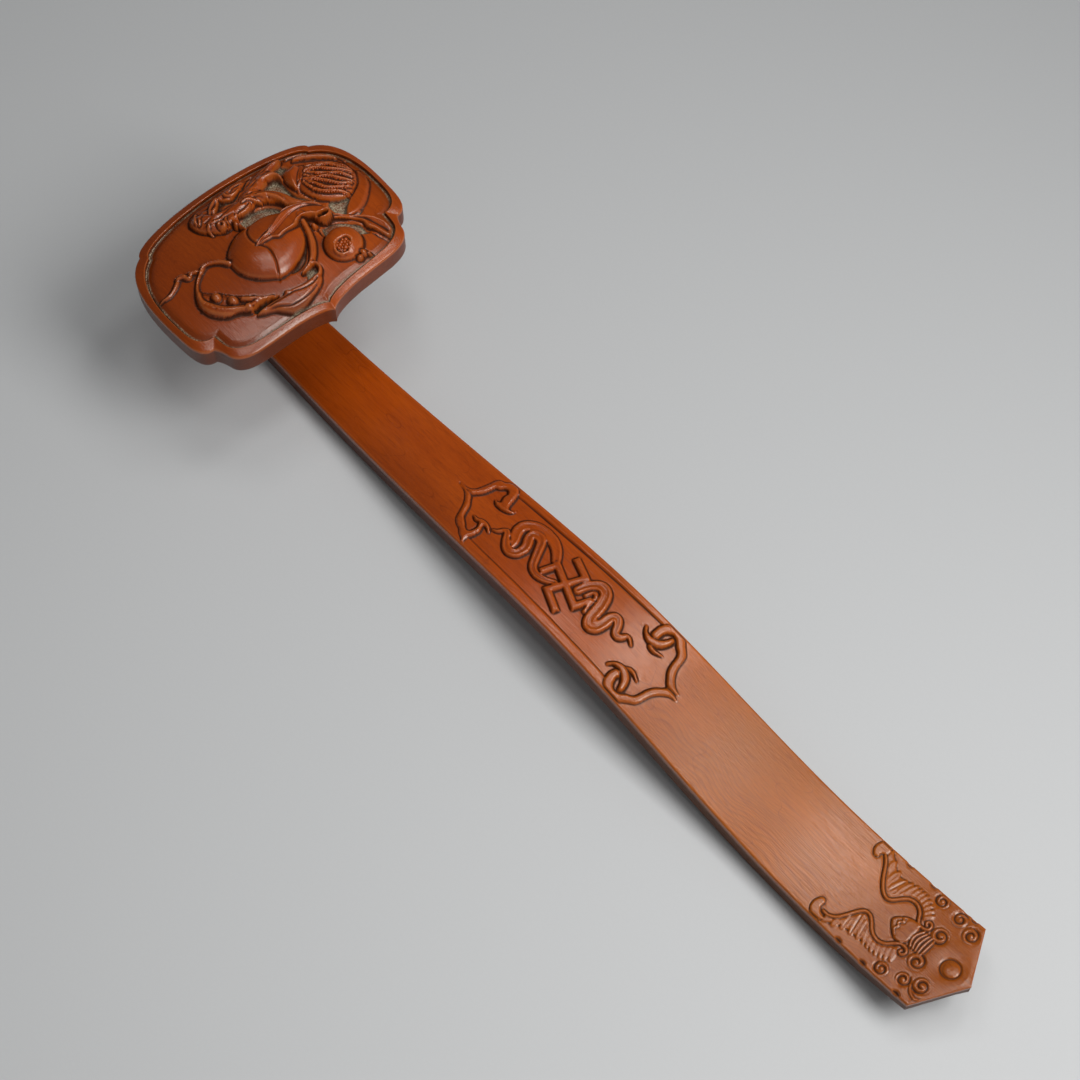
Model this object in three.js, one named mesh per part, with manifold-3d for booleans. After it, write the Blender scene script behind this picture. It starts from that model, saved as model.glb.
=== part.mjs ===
// Wooden ruyi scepter: an arched shaft whose swan neck carries a carved head.
// Millimetres, +Z up. X runs along the scepter with the tail at +X, and Y runs across it.
// The origin lies on the resting plane, halfway along the scepter.

import * as THREE from 'three';
import { mergeVertices } from 'three/addons/utils/BufferGeometryUtils.js';
import Module from 'manifold-3d';

const wasm = await Module();
wasm.setup();

// Overall
const overallLength = 436;
const tailTipX = overallLength / 2;

// Head: a lobed plaque with a bevelled rim round a domed, carved field
const headLength = 80;
const headWidth = 111;
const headSkew = 0.042;
const headWall = 8;
const headUndersideDrop = 4;
const headUndersideInset = 9;
const rimWidth = 3.6;
const rimRise = 2.2;
const rimStep = 1;
const rimStepWidth = 0.8;
const fieldCrown = 5.5;
const headX = -overallLength / 2 + headLength / 2;

// Shaft: thicknesses, widths and the stations of its long S curve, measured from the tail's tip
const neckWidth = 29;
const tailWidth = 42.8;
const widthEase = 1.65;
const neckThickness = 11;
const crownThickness = 13;
const tailFootThickness = 12;
const tailEndThickness = 6;
const crownFromTip = 204;
const tailFootFromTip = 78;
const crownTop = 26.4;
const tailTipTop = 22.3;
const tailPointLength = 11.5;
const footLength = 18;

// Neck: the shaft curls up and back in a round bend that ends in a flat seat under the head
const neckBendInside = 20.5;
const neckSeatAboveBend = 5;
const neckSeatReach = 8;
const neckAheadOfHead = 9.5;

// Joint of neck and head: a loose tongue with two foot wedges, and two bamboo pins
const jointGap = 0.3;
const fitGap = 0.3;
const tongueLength = 11;
const tongueWidth = 15;
const tongueInHead = 8;
const tongueFromSeatEdge = 6;
const wedgeThickness = 1.6;
const wedgeSpacing = 7;
const wedgeHeadroom = 1.5;
const pinDiameter = 3.6;
const pinSpacing = 22;
const pinInHead = 7;

// Tail plug: a round button that stops the cord hole near the tail's point
const plugDiameter = 6.8;
const plugProud = 1;
const plugFromTip = 9.4;
const plugDepth = 5.6;

// Cartouche: a raised moulding with an ogee point at each end, on the shaft's crown
const cartoucheLength = 131;
const cartoucheEdgeMargin = 2.2;
const cartouchePoint = 20;
const mouldingWidth = 2.4;
const mouldingRise = 0.7;
const cartoucheFromTip = 220.5;

// Smoothness
const curveSteps = 12;
const arcSteps = 20;
const ballSteps = 24;
const fieldRings = 5;
const ridgeSides = 8;
const ridgeStepsPerPoint = 4;
const weldDistance = 1e-4;

// Working heights and places
const neckX = headX + neckAheadOfHead;
const bendCentreZ = neckThickness + neckBendInside;
const bendOutside = neckThickness + neckBendInside;
const seatZ = bendCentreZ + neckBendInside + neckSeatAboveBend;
const headBottomZ = seatZ + jointGap;
const wallBottomZ = headBottomZ + headUndersideDrop;
const wallTopZ = wallBottomZ + headWall;
const rimTopZ = wallTopZ + rimRise;
const fieldTopZ = wallTopZ + fieldCrown;
const crownX = tailTipX - crownFromTip;
const tailFootX = tailTipX - tailFootFromTip;
const shoulderX = tailTipX - tailPointLength;
const seatFarX = neckX - Math.sqrt(bendOutside ** 2 - (seatZ - bendCentreZ) ** 2);
const tongueX = seatFarX + tongueFromSeatEdge + tongueLength / 2;

// Finish of the pieces
const boxwood = { color: 0x8a4218, roughness: 0.42, metalness: 0 };
const darkBoxwood = { color: 0x6e3413, roughness: 0.5, metalness: 0 };
const bamboo = { color: 0xb98b4e, roughness: 0.6, metalness: 0 };

// Solids from geometries, and back
function solidOf(geometry) {
  const bare = geometry.clone();
  bare.deleteAttribute('normal');
  bare.deleteAttribute('uv');
  const welded = mergeVertices(bare, weldDistance);
  return new wasm.Manifold(new wasm.Mesh({
    numProp: 3,
    vertProperties: new Float32Array(welded.attributes.position.array),
    triVerts: new Uint32Array(welded.index.array),
  }));
}

function geometryOf(solid) {
  const mesh = solid.getMesh();
  const geometry = new THREE.BufferGeometry();
  geometry.setAttribute('position', new THREE.BufferAttribute(mesh.vertProperties, 3));
  geometry.setIndex(new THREE.BufferAttribute(mesh.triVerts, 1));
  geometry.computeVertexNormals();
  return geometry;
}

function piece(name, solid, finish) {
  const mesh = new THREE.Mesh(geometryOf(solid), new THREE.MeshStandardMaterial(finish));
  mesh.name = name;
  return mesh;
}

function union(solids) {
  return solids.reduce((whole, next) => whole.add(next));
}

// A prism standing on a plan outline, between two heights
function uprightPrism(shape, bottom, top) {
  const settings = { depth: top - bottom, bevelEnabled: false, curveSegments: curveSteps };
  const geometry = new THREE.ExtrudeGeometry(shape, settings);
  geometry.translate(0, 0, bottom);
  return solidOf(geometry);
}

// A prism across the scepter from an outline in the XZ plane
function crossPrism(shape, width) {
  const settings = { depth: width, bevelEnabled: false, curveSegments: arcSteps };
  const geometry = new THREE.ExtrudeGeometry(shape, settings);
  geometry.translate(0, 0, -width / 2);
  geometry.rotateX(Math.PI / 2);
  return solidOf(geometry);
}

function block(x, y, sizeX, sizeY, bottom, top) {
  const geometry = new THREE.BoxGeometry(sizeX, sizeY, top - bottom);
  geometry.translate(x, y, (bottom + top) / 2);
  return solidOf(geometry);
}

function uprightPin(x, y, diameter, bottom, top) {
  const geometry = new THREE.CylinderGeometry(diameter / 2, diameter / 2, top - bottom, arcSteps);
  geometry.rotateX(Math.PI / 2);
  geometry.translate(x, y, (bottom + top) / 2);
  return solidOf(geometry);
}

// The head's plan, in parts of its half length and half width: from the tip round one side to the far edge.
// The far half leans a little, because the carver left the far edge out of square.
function headPlan(halfLength, halfWidth) {
  const half = new THREE.Path();
  half.moveTo(1, 0);
  half.quadraticCurveTo(0.92, 0.05, 0.893, 0.3);
  half.lineTo(0.88, 0.58);
  half.quadraticCurveTo(0.868, 0.8, 0.705, 0.822);
  half.quadraticCurveTo(0.61, 0.838, 0.558, 0.868);
  half.bezierCurveTo(0.552, 0.95, 0.47, 0.98, 0.29, 0.99);
  half.bezierCurveTo(-0.05, 1.005, -0.62, 1.03, -0.77, 0.779);
  half.bezierCurveTo(-0.894, 0.775, -1, 0.381, -1, 0);
  const oneSide = half.getPoints(curveSteps);
  const otherSide = oneSide.slice(1, -1).reverse().map((point) => new THREE.Vector2(point.x, -point.y));
  const place = (point) => {
    const y = point.y * halfWidth;
    const lean = headSkew * y * Math.max(0, -point.x);
    return new THREE.Vector2(headX + point.x * halfLength + lean, y);
  };
  return [...oneSide, ...otherSide].map(place);
}

function insetHeadPlan(inset) {
  return headPlan(headLength / 2 - inset, headWidth / 2 - inset);
}

// A closed body through level outlines of equal count, each given as points and a height
function stack(levels) {
  const count = levels[0].points.length;
  const positions = levels.flatMap(({ points, z }) => points.flatMap((point) => [point.x, point.y, z]));
  const faces = THREE.ShapeUtils.triangulateShape(levels[0].points, []);
  const topStart = (levels.length - 1) * count;
  const index = faces.flatMap(([a, b, c]) => [a, c, b, topStart + a, topStart + b, topStart + c]);
  for (let level = 0; level < levels.length - 1; level += 1) {
    for (let i = 0; i < count; i += 1) {
      const a = level * count + i;
      const b = level * count + (i + 1) % count;
      index.push(a, b, b + count, a, b + count, a + count);
    }
  }
  const geometry = new THREE.BufferGeometry();
  geometry.setAttribute('position', new THREE.Float32BufferAttribute(positions, 3));
  geometry.setIndex(index);
  return solidOf(geometry);
}

// The field lies inside the rim's step and crowns towards its middle
const fieldHalfLength = headLength / 2 - rimWidth - rimStepWidth;
const fieldHalfWidth = headWidth / 2 - rimWidth - rimStepWidth;
const fieldEdgeZ = rimTopZ - rimStep;

function fieldZ(share) {
  return fieldTopZ + (fieldEdgeZ - fieldTopZ) * share ** 2;
}

// A place on the field, in parts of its half length and half width
function onField(along, across) {
  const share = Math.hypot(along, across);
  return new THREE.Vector3(headX + along * fieldHalfLength, across * fieldHalfWidth, fieldZ(share));
}

// A rounded fruit that swells out of the field
function fruit(along, across, halfLength, halfWidth, rise, turn) {
  const geometry = new THREE.SphereGeometry(1, ballSteps, ballSteps / 2);
  geometry.rotateX(Math.PI / 2);
  geometry.scale(halfLength, halfWidth, rise);
  geometry.rotateZ(turn);
  const place = onField(along, across);
  geometry.translate(place.x, place.y, place.z);
  return solidOf(geometry);
}

// A round ridge, half sunk, along places on the field
function ridge(places, thickness) {
  const path = new THREE.CatmullRomCurve3(places.map(([along, across]) => onField(along, across)));
  const section = new THREE.Shape();
  section.absarc(0, 0, thickness / 2, 0, 2 * Math.PI);
  const steps = places.length * ridgeStepsPerPoint;
  const settings = { steps, extrudePath: path, curveSegments: ridgeSides / 2 };
  return solidOf(new THREE.ExtrudeGeometry(section, settings));
}

// The carved forms: three fruits, a gnarled branch, and the leaves that wrap them
const fruitRise = 6;
const branchThickness = 7;
const leafThickness = 5;
const stemThickness = 2.6;
const branchLine = [
  [-0.66, -0.4], [-0.58, -0.2], [-0.62, 0], [-0.5, 0.2], [-0.26, 0.32], [0, 0.4], [0.14, 0.52],
];
const peachLeafLine = [[0.14, 0.46], [-0.03, 0.34], [-0.04, 0.12], [0, -0.06]];
const curledLeafLine = [[0.8, 0.04], [0.83, -0.15], [0.77, -0.35], [0.6, -0.6], [0.3, -0.8], [0.02, -0.76]];
const stemLines = [
  [[0.12, 0.26], [0.42, 0.2], [0.62, 0.1], [0.74, 0.08]],
  [[0.02, -0.76], [-0.2, -0.64], [-0.14, -0.48], [0, -0.4]],
  [[0.28, 0.42], [0.44, 0.56], [0.62, 0.64], [0.82, 0.7]],
];

function headCarving() {
  return union([
    fruit(0.13, -0.09, 14.5, 16.5, fruitRise, 0),
    fruit(-0.3, 0.68, 16, 10.5, fruitRise, 0.5),
    fruit(0.62, 0.4, 8, 8.2, fruitRise, 0),
    ridge(branchLine, branchThickness),
    ridge(peachLeafLine, leafThickness),
    ridge(curledLeafLine, leafThickness),
    ...stemLines.map((line) => ridge(line, stemThickness)),
  ]);
}

function headSolid() {
  const levels = [
    { points: insetHeadPlan(headUndersideInset), z: headBottomZ },
    { points: insetHeadPlan(0), z: wallBottomZ },
    { points: insetHeadPlan(0), z: wallTopZ },
    { points: insetHeadPlan(rimWidth), z: rimTopZ },
  ];
  for (let ring = 0; ring < fieldRings; ring += 1) {
    const share = 1 - ring / fieldRings;
    levels.push({ points: headPlan(fieldHalfLength * share, fieldHalfWidth * share), z: fieldZ(share) });
  }
  const holes = jointSockets(headBottomZ - headUndersideDrop, tongueInHead, pinInHead);
  return union([stack(levels), headCarving()]).subtract(holes);
}

// The sockets for the tongue and the pins, from one height up to their depths in the head
function jointSockets(bottom, tongueDepth, pinDepth) {
  const slotTop = headBottomZ + tongueDepth + fitGap;
  const slot = block(tongueX, 0, tongueLength + 2 * fitGap, tongueWidth + 2 * fitGap, bottom, slotTop);
  const pinHoleTop = headBottomZ + pinDepth + fitGap;
  const pinHoles = [-1, 1].map((side) => (
    uprightPin(tongueX, side * pinSpacing / 2, pinDiameter + 2 * fitGap, bottom, pinHoleTop)
  ));
  return union([slot, ...pinHoles]);
}

// The hollow of the neck's bend, which trims what passes through the neck
function bendHollow() {
  const geometry = new THREE.CylinderGeometry(neckBendInside, neckBendInside, tailWidth, arcSteps * 2);
  geometry.translate(neckX, 0, bendCentreZ);
  return solidOf(geometry);
}

// The S curve's shares of each span that its tangents reach
const riseLeave = 0.46;
const riseArrive = 0.26;
const fallReach = 1 / 3;

// The top line from the neck to the tail, added to an outline that stands at the neck
function drawTop(shape, raise) {
  const rise = crownX - neckX;
  const fall = tailFootX - crownX;
  const neckTop = neckThickness + raise;
  const footTop = tailFootThickness + raise;
  const crown = crownTop + raise;
  const fallStart = crownX + fallReach * fall;
  const fallEnd = tailFootX - fallReach * fall;
  shape.bezierCurveTo(neckX + riseLeave * rise, neckTop, crownX - riseArrive * rise, crown, crownX, crown);
  shape.bezierCurveTo(fallStart, crown, fallEnd, footTop, tailFootX, footTop);
  shape.quadraticCurveTo((tailFootX + tailTipX) / 2, footTop, tailTipX, tailTipTop + raise);
}

// The underside from the tail back to the neck, with a flat foot at each end of the arch
function drawUnderside(shape) {
  const tailFootEnd = tailFootX + footLength / 2;
  const tailFootStart = tailFootX - footLength / 2;
  const neckFootEnd = neckX + footLength;
  const crown = crownTop - crownThickness;
  const fall = tailFootStart - crownX;
  const rise = crownX - neckFootEnd;
  shape.lineTo(tailTipX, tailTipTop - tailEndThickness);
  shape.quadraticCurveTo((tailFootEnd + tailTipX) / 2, 0, tailFootEnd, 0);
  shape.lineTo(tailFootStart, 0);
  shape.bezierCurveTo(tailFootStart - fallReach * fall, 0, crownX + fallReach * fall, crown, crownX, crown);
  shape.bezierCurveTo(crownX - riseArrive * rise, crown, neckFootEnd + riseLeave * rise, 0, neckFootEnd, 0);
}

function shaftSideView() {
  const shape = new THREE.Shape();
  shape.moveTo(neckX, neckThickness);
  drawTop(shape, 0);
  drawUnderside(shape);
  shape.lineTo(neckX, 0);
  const seatAngle = Math.PI - Math.asin((seatZ - bendCentreZ) / bendOutside);
  shape.absarc(neckX, bendCentreZ, bendOutside, 1.5 * Math.PI, seatAngle, true);
  shape.lineTo(neckX + neckSeatReach, seatZ);
  shape.quadraticCurveTo(neckX + neckSeatReach, seatZ - neckSeatAboveBend, neckX, seatZ - neckSeatAboveBend);
  shape.absarc(neckX, bendCentreZ, neckBendInside, 0.5 * Math.PI, 1.5 * Math.PI, false);
  return shape;
}

// Half the shaft's width at a station, widening quickly near the neck and slowly near the tail
function halfWidthAt(x) {
  const share = THREE.MathUtils.clamp((x - neckX) / (shoulderX - neckX), 0, 1);
  return (neckWidth + (tailWidth - neckWidth) * (1 - (1 - share) ** widthEase)) / 2;
}

function shaftPlan() {
  const farX = neckX - bendOutside - footLength;
  const stations = [farX];
  for (let step = 0; step <= curveSteps; step += 1) {
    stations.push(neckX + (shoulderX - neckX) * step / curveSteps);
  }
  const side = stations.map((x) => new THREE.Vector2(x, -halfWidthAt(x)));
  const otherSide = [...side].reverse().map((point) => new THREE.Vector2(point.x, -point.y));
  return new THREE.Shape([...side, new THREE.Vector2(tailTipX, 0), ...otherSide]);
}

// One closed outline of the cartouche, drawn in from its outer edge
function cartouchePlan(inset) {
  const centre = tailTipX - cartoucheFromTip;
  const near = centre - cartoucheLength / 2 + inset;
  const far = centre + cartoucheLength / 2 - inset;
  const sideAt = (x) => halfWidthAt(x) - cartoucheEdgeMargin - inset;
  const nearSide = near + cartouchePoint;
  const farSide = far - cartouchePoint;
  const reach = cartouchePoint / 2;
  const half = new THREE.Path();
  half.moveTo(near, 0);
  half.bezierCurveTo(near + reach, 0, nearSide - reach, sideAt(nearSide), nearSide, sideAt(nearSide));
  half.lineTo(farSide, sideAt(farSide));
  half.bezierCurveTo(farSide + reach, sideAt(farSide), far - reach, 0, far, 0);
  const upper = half.getPoints(curveSteps);
  const lower = upper.slice(1, -1).reverse().map((point) => new THREE.Vector2(point.x, -point.y));
  return new THREE.Shape([...upper, ...lower]);
}

function cartoucheMoulding() {
  const layer = new THREE.Shape();
  layer.moveTo(neckX, neckThickness + mouldingRise);
  drawTop(layer, mouldingRise);
  drawUnderside(layer);
  layer.lineTo(neckX, 0);
  const tall = crownTop + mouldingRise + tailWidth;
  const outer = uprightPrism(cartouchePlan(0), 0, tall);
  const inner = uprightPrism(cartouchePlan(mouldingWidth), -tall, 2 * tall);
  return outer.subtract(inner).intersect(crossPrism(layer, tailWidth));
}

// The tail rises towards its point, so the plug stands square to that slope
function plugPlace() {
  const x = tailTipX - plugFromTip;
  const share = (x - tailFootX) / (tailTipX - tailFootX);
  const z = tailFootThickness + (tailTipTop - tailFootThickness) * share ** 2;
  const slope = 2 * (tailTipTop - tailFootThickness) * share / (tailTipX - tailFootX);
  return { x, z, turn: -Math.atan(slope) };
}

// A turned profile on the plug's own axis, from its foot to its domed top
function plugBody(radius, foot, top, crown) {
  const profile = new THREE.Path();
  profile.moveTo(0, foot);
  profile.lineTo(radius, foot);
  profile.lineTo(radius, top);
  profile.quadraticCurveTo(radius, top + crown, 0, top + crown);
  const geometry = new THREE.LatheGeometry(profile.getPoints(curveSteps / 2), arcSteps);
  geometry.rotateX(Math.PI / 2);
  const { x, z, turn } = plugPlace();
  geometry.rotateY(turn);
  geometry.translate(x, 0, z);
  return solidOf(geometry);
}

function shaftSolid() {
  const tall = seatZ + neckThickness;
  const sideView = crossPrism(shaftSideView(), 2 * tailWidth);
  const blank = sideView.intersect(uprightPrism(shaftPlan(), -tall, 2 * tall));
  const sockets = jointSockets(bendCentreZ, tongueInHead, pinInHead);
  const cordHole = plugBody(plugDiameter / 2 + fitGap, -2 * crownThickness, crownThickness, plugProud);
  return union([blank, cartoucheMoulding()]).subtract(sockets).subtract(cordHole);
}

// A foot wedge, or with some growth its kerf, which also runs out past the tongue's two faces
function wedgeBlock(side, grow) {
  const top = seatZ - wedgeHeadroom + grow;
  const length = tongueLength + 4 * grow;
  const thickness = wedgeThickness + 2 * grow;
  return block(tongueX, side * wedgeSpacing / 2, length, thickness, bendCentreZ, top);
}

function tongueSolid() {
  const blank = block(tongueX, 0, tongueLength, tongueWidth, bendCentreZ, headBottomZ + tongueInHead);
  const kerfs = union([-1, 1].map((side) => wedgeBlock(side, fitGap)));
  return blank.subtract(kerfs).subtract(bendHollow());
}

function pinSolid(side) {
  const blank = uprightPin(tongueX, side * pinSpacing / 2, pinDiameter, bendCentreZ, headBottomZ + pinInHead);
  return blank.subtract(bendHollow());
}

const scepter = new THREE.Group();
scepter.add(piece('shaft', shaftSolid(), boxwood));
scepter.add(piece('head_plaque', headSolid(), boxwood));
scepter.add(piece('neck_tongue', tongueSolid(), darkBoxwood));
for (const [name, side] of [['left', -1], ['right', 1]]) {
  scepter.add(piece(`tongue_wedge_${name}`, wedgeBlock(side, 0).subtract(bendHollow()), darkBoxwood));
  scepter.add(piece(`neck_pin_${name}`, pinSolid(side), bamboo));
}
scepter.add(piece('tail_plug', plugBody(plugDiameter / 2, -plugDepth, 0, plugProud), boxwood));

export default scepter;
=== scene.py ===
"""Dress the carved boxwood ruyi scepter: shaft, head, inner joint pieces, light and camera.

Lengths are in millimetres until a mesh is made. Meshes, lamps and the camera are in metres.
"""

import logging
import math
from dataclasses import dataclass
from enum import Enum

import bpy
import numpy as np
from mathutils import Matrix, Vector


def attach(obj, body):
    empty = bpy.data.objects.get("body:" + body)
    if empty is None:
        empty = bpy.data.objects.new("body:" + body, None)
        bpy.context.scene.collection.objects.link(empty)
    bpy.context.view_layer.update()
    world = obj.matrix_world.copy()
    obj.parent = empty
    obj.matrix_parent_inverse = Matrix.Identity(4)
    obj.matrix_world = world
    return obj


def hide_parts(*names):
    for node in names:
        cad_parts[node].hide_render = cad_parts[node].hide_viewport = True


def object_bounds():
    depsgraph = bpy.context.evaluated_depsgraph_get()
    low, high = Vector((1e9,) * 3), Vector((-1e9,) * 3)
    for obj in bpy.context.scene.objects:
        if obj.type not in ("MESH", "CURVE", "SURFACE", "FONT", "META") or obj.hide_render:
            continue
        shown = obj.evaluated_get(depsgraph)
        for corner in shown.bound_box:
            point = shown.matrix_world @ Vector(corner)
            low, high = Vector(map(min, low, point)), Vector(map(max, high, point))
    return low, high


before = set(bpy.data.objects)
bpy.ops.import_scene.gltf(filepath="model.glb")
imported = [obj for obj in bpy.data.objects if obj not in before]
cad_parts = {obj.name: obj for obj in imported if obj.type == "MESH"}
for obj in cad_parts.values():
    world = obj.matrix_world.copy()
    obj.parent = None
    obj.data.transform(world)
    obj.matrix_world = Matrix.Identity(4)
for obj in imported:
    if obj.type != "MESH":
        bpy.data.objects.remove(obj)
CAD_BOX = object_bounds()

Spot = tuple[float, float]
Points = list[Spot]
Triple = tuple[float, float, float]
Colour = Triple
Corners = list[tuple[int, ...]]
Array = np.ndarray
Socket = bpy.types.NodeSocket
Material = bpy.types.Material
Piece = bpy.types.Object

MM = 0.001
BODY = "root"
LOG = logging.getLogger("scepter")

# Samples for each span of a smooth line
SPAN_STEPS = 6
# Shift in plan for each millimetre of height, as the camera sees it
LINE_OF_SIGHT = (0.377, -0.343)
# Depth and width of the cut round a carved form
DITCH_DEPTH = 0.35
DITCH_WIDTH = 0.7
# Small length that keeps a division safe
TINY = 1e-6


def bezier(controls: Points, count: int) -> Array:
    """Sample a Bezier curve of any degree.

    Args:
        controls: Control points, from start to end.
        count: Number of samples, both ends included.

    Returns:
        One sample per row.
    """
    t = np.linspace(0.0, 1.0, count)[:, None]
    level = [np.asarray(control, float) + 0.0 * t for control in controls]
    while len(level) > 1:
        level = [a * (1.0 - t) + b * t for a, b in zip(level, level[1:])]
    return level[0]


def smooth_path(points: Points, closed: bool = False) -> Array:
    """Run a smooth line through the given points.

    Args:
        points: Places that the line passes through.
        closed: Whether the line returns to its first point.

    Returns:
        Sampled line, with SPAN_STEPS samples for each span.
    """
    line = np.asarray(points, float)
    if closed:
        ghost = np.vstack([line[-1], line, line[0], line[1]])
    else:
        ghost = np.vstack([2 * line[0] - line[1], line, 2 * line[-1] - line[-2]])
    t = np.arange(SPAN_STEPS)[:, None] / SPAN_STEPS
    spans = []
    for a, b, c, d in zip(ghost, ghost[1:], ghost[2:], ghost[3:]):
        bend = (2 * a - 5 * b + 4 * c - d) * t**2 + (3 * b - 3 * c + d - a) * t**3
        spans.append(b + 0.5 * ((c - a) * t + bend))
    spans.append(ghost[-2][None, :])
    return np.vstack(spans)


def distance_to(points: Array, path: Array) -> tuple[Array, Array]:
    """Measure how far points lie from a path.

    Args:
        points: Plan points, one per row.
        path: Sampled line.

    Returns:
        Distance of each point, and its place along the path in samples.
    """
    best = np.full(len(points), np.inf)
    place = np.zeros(len(points))
    for i in range(len(path) - 1):
        run = path[i + 1] - path[i]
        offset = points - path[i]
        share = np.clip(offset @ run / max(run @ run, 1e-9), 0.0, 1.0)
        gap = np.linalg.norm(offset - share[:, None] * run, axis=1)
        closer = gap < best
        best[closer] = gap[closer]
        place[closer] = i + share[closer]
    return best, place


def inside(points: Array, outline: Array) -> Array:
    """Tell which points lie inside a closed outline.

    Args:
        points: Plan points, one per row.
        outline: Sampled closed line.

    Returns:
        One truth value for each point.
    """
    x, y = points.T
    found = np.zeros(len(points), bool)
    for a, b in zip(outline, np.roll(outline, -1, axis=0)):
        crosses = (a[1] > y) != (b[1] > y)
        slope = (b[0] - a[0]) / (b[1] - a[1] + 1e-12)
        found ^= crosses & (x < a[0] + slope * (y - a[1]))
    return found


def eased(share: Array) -> Array:
    """Ease a share from 0 to 1 without corners."""
    held = np.clip(share, 0.0, 1.0)
    return held * held * (3.0 - 2.0 * held)


def domed(share: Array) -> Array:
    """Raise a share from 0 to 1 along a quarter circle."""
    return np.sqrt(1.0 - (1.0 - np.clip(share, 0.0, 1.0)) ** 2)


def softened(heights: Array, rounds: int, wraps: bool) -> Array:
    """Average a grid of heights with its neighbours.

    Args:
        heights: Grid of heights.
        rounds: How often to average.
        wraps: Whether the second axis runs round and meets itself.

    Returns:
        The averaged grid.
    """
    result = heights.copy()
    mode = "wrap" if wraps else "edge"
    for _ in range(rounds):
        tall = np.pad(result, ((1, 1), (0, 0)), mode="edge")
        result = 0.25 * tall[:-2] + 0.5 * result + 0.25 * tall[2:]
        wide = np.pad(result, ((0, 0), (1, 1)), mode=mode)
        result = 0.25 * wide[:, :-2] + 0.5 * result + 0.25 * wide[:, 2:]
    return result


def lumps(plan: Array, size: Spot, seed: int) -> Array:
    """Give smooth random lumps over plan points.

    Args:
        plan: Plan points, one per row.
        size: Size of a lump along each axis.
        seed: Number that fixes the random heights.

    Returns:
        Height of each point, from -1 to 1.
    """
    columns, rows = 96, 88
    far_shift = 500.0
    knots = np.random.default_rng(seed).uniform(-1.0, 1.0, (columns + 1, rows + 1))
    place = plan / np.asarray(size) + far_shift
    cell = np.floor(place).astype(int)
    right, up = eased(place - cell).T
    column, row = cell[:, 0] % columns, cell[:, 1] % rows
    low = knots[column, row] * (1.0 - right) + knots[column + 1, row] * right
    high = knots[column, row + 1] * (1.0 - right) + knots[column + 1, row + 1] * right
    return low * (1.0 - up) + high * up


class Section(Enum):
    """How a carved line looks when it is cut across."""

    ROUND = "round"
    FLAT = "flat"
    RIBBON = "ribbon"

    def height(self, t: Array) -> Array:
        """Give the height, as a share of the rise.

        Args:
            t: Place across the line, 0 in the middle and 1 at the edge.

        Returns:
            Height at each place.
        """
        held = np.clip(t, 0.0, 1.0)
        edge = np.sqrt(np.clip(1.0 - held**6, 0.0, 1.0))
        if self is Section.ROUND:
            return np.sqrt(1.0 - held**2)
        if self is Section.FLAT:
            return edge
        return edge * (0.45 + 0.55 * eased((held - 0.25) / 0.4))


class Relief:
    """Heights over plan points, carved form by form.

    Attributes:
        plan: Plan points, one per row.
        height: Height of each point over the ground.
        dust: How much pale dust lies at each point, from 0 to 1.
    """

    def __init__(self, plan: Array) -> None:
        """Start level over these plan points.

        Args:
            plan: Plan points, as rows or as a grid.
        """
        self.plan = plan.reshape(-1, 2)
        self.height = np.zeros(len(self.plan))
        self.dust = np.zeros(len(self.plan))

    def near(self, path: Array, reach: float) -> Array:
        """Find the points in a path's neighbourhood.

        Args:
            path: Sampled line.
            reach: How far from the line's box to look.

        Returns:
            Indices of the points.
        """
        low = path.min(axis=0) - reach
        high = path.max(axis=0) + reach
        close = np.all((self.plan >= low) & (self.plan <= high), axis=1)
        return np.flatnonzero(close)

    def under(self, path: Array) -> Array:
        """Read the present height along a path.

        Args:
            path: Sampled line.

        Returns:
            Height under each sample, evened out along the line.
        """
        found = np.zeros(len(path))
        around = self.near(path, 2.0)
        if len(around) == 0:
            return found
        for i, spot in enumerate(path):
            gaps = np.sum((self.plan[around] - spot) ** 2, axis=1)
            found[i] = self.height[around[np.argmin(gaps)]]
        kernel = np.ones(9) / 9.0
        return np.convolve(np.pad(found, 4, mode="edge"), kernel, mode="valid")

    def around(self, path: Array) -> tuple[Array, Array, Array]:
        """Find the points in and near a closed path.

        Args:
            path: Sampled closed line.

        Returns:
            Indices of the points, their distance from the line, and whether each lies inside.
        """
        index = self.near(path, 1.0)
        gap, _ = distance_to(self.plan[index], path)
        return index, gap, inside(self.plan[index], path)

    def ditch(self, index: Array, gap: Array, depth: float) -> None:
        """Sink a ditch of this depth where the gap to a form's edge is small and not below zero."""
        share = np.where(gap >= 0.0, 1.0 - gap / DITCH_WIDTH, 0.0)
        self.height[index] -= depth * np.clip(share, 0.0, 1.0)

    def lay(self, index: Array, raised: Array) -> None:
        """Raise points that lie lower than a form, and clear their dust."""
        self.height[index] = np.maximum(self.height[index], raised)
        self.dust[index] = 0.0

    def lay_inside(self, index: Array, gap: Array, within: Array, raised: Array, ditch: float) -> None:
        """Lay a form on the points within an outline and cut a ditch along its edge."""
        self.ditch(index, np.where(within, -1.0, gap), ditch)
        self.lay(index[within], raised[within])

    def sink(self, index: Array, depth: Array, dust: Array) -> None:
        """Lower points and let dust settle on them."""
        self.height[index] -= depth
        self.dust[index] = np.maximum(self.dust[index], dust)


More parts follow.
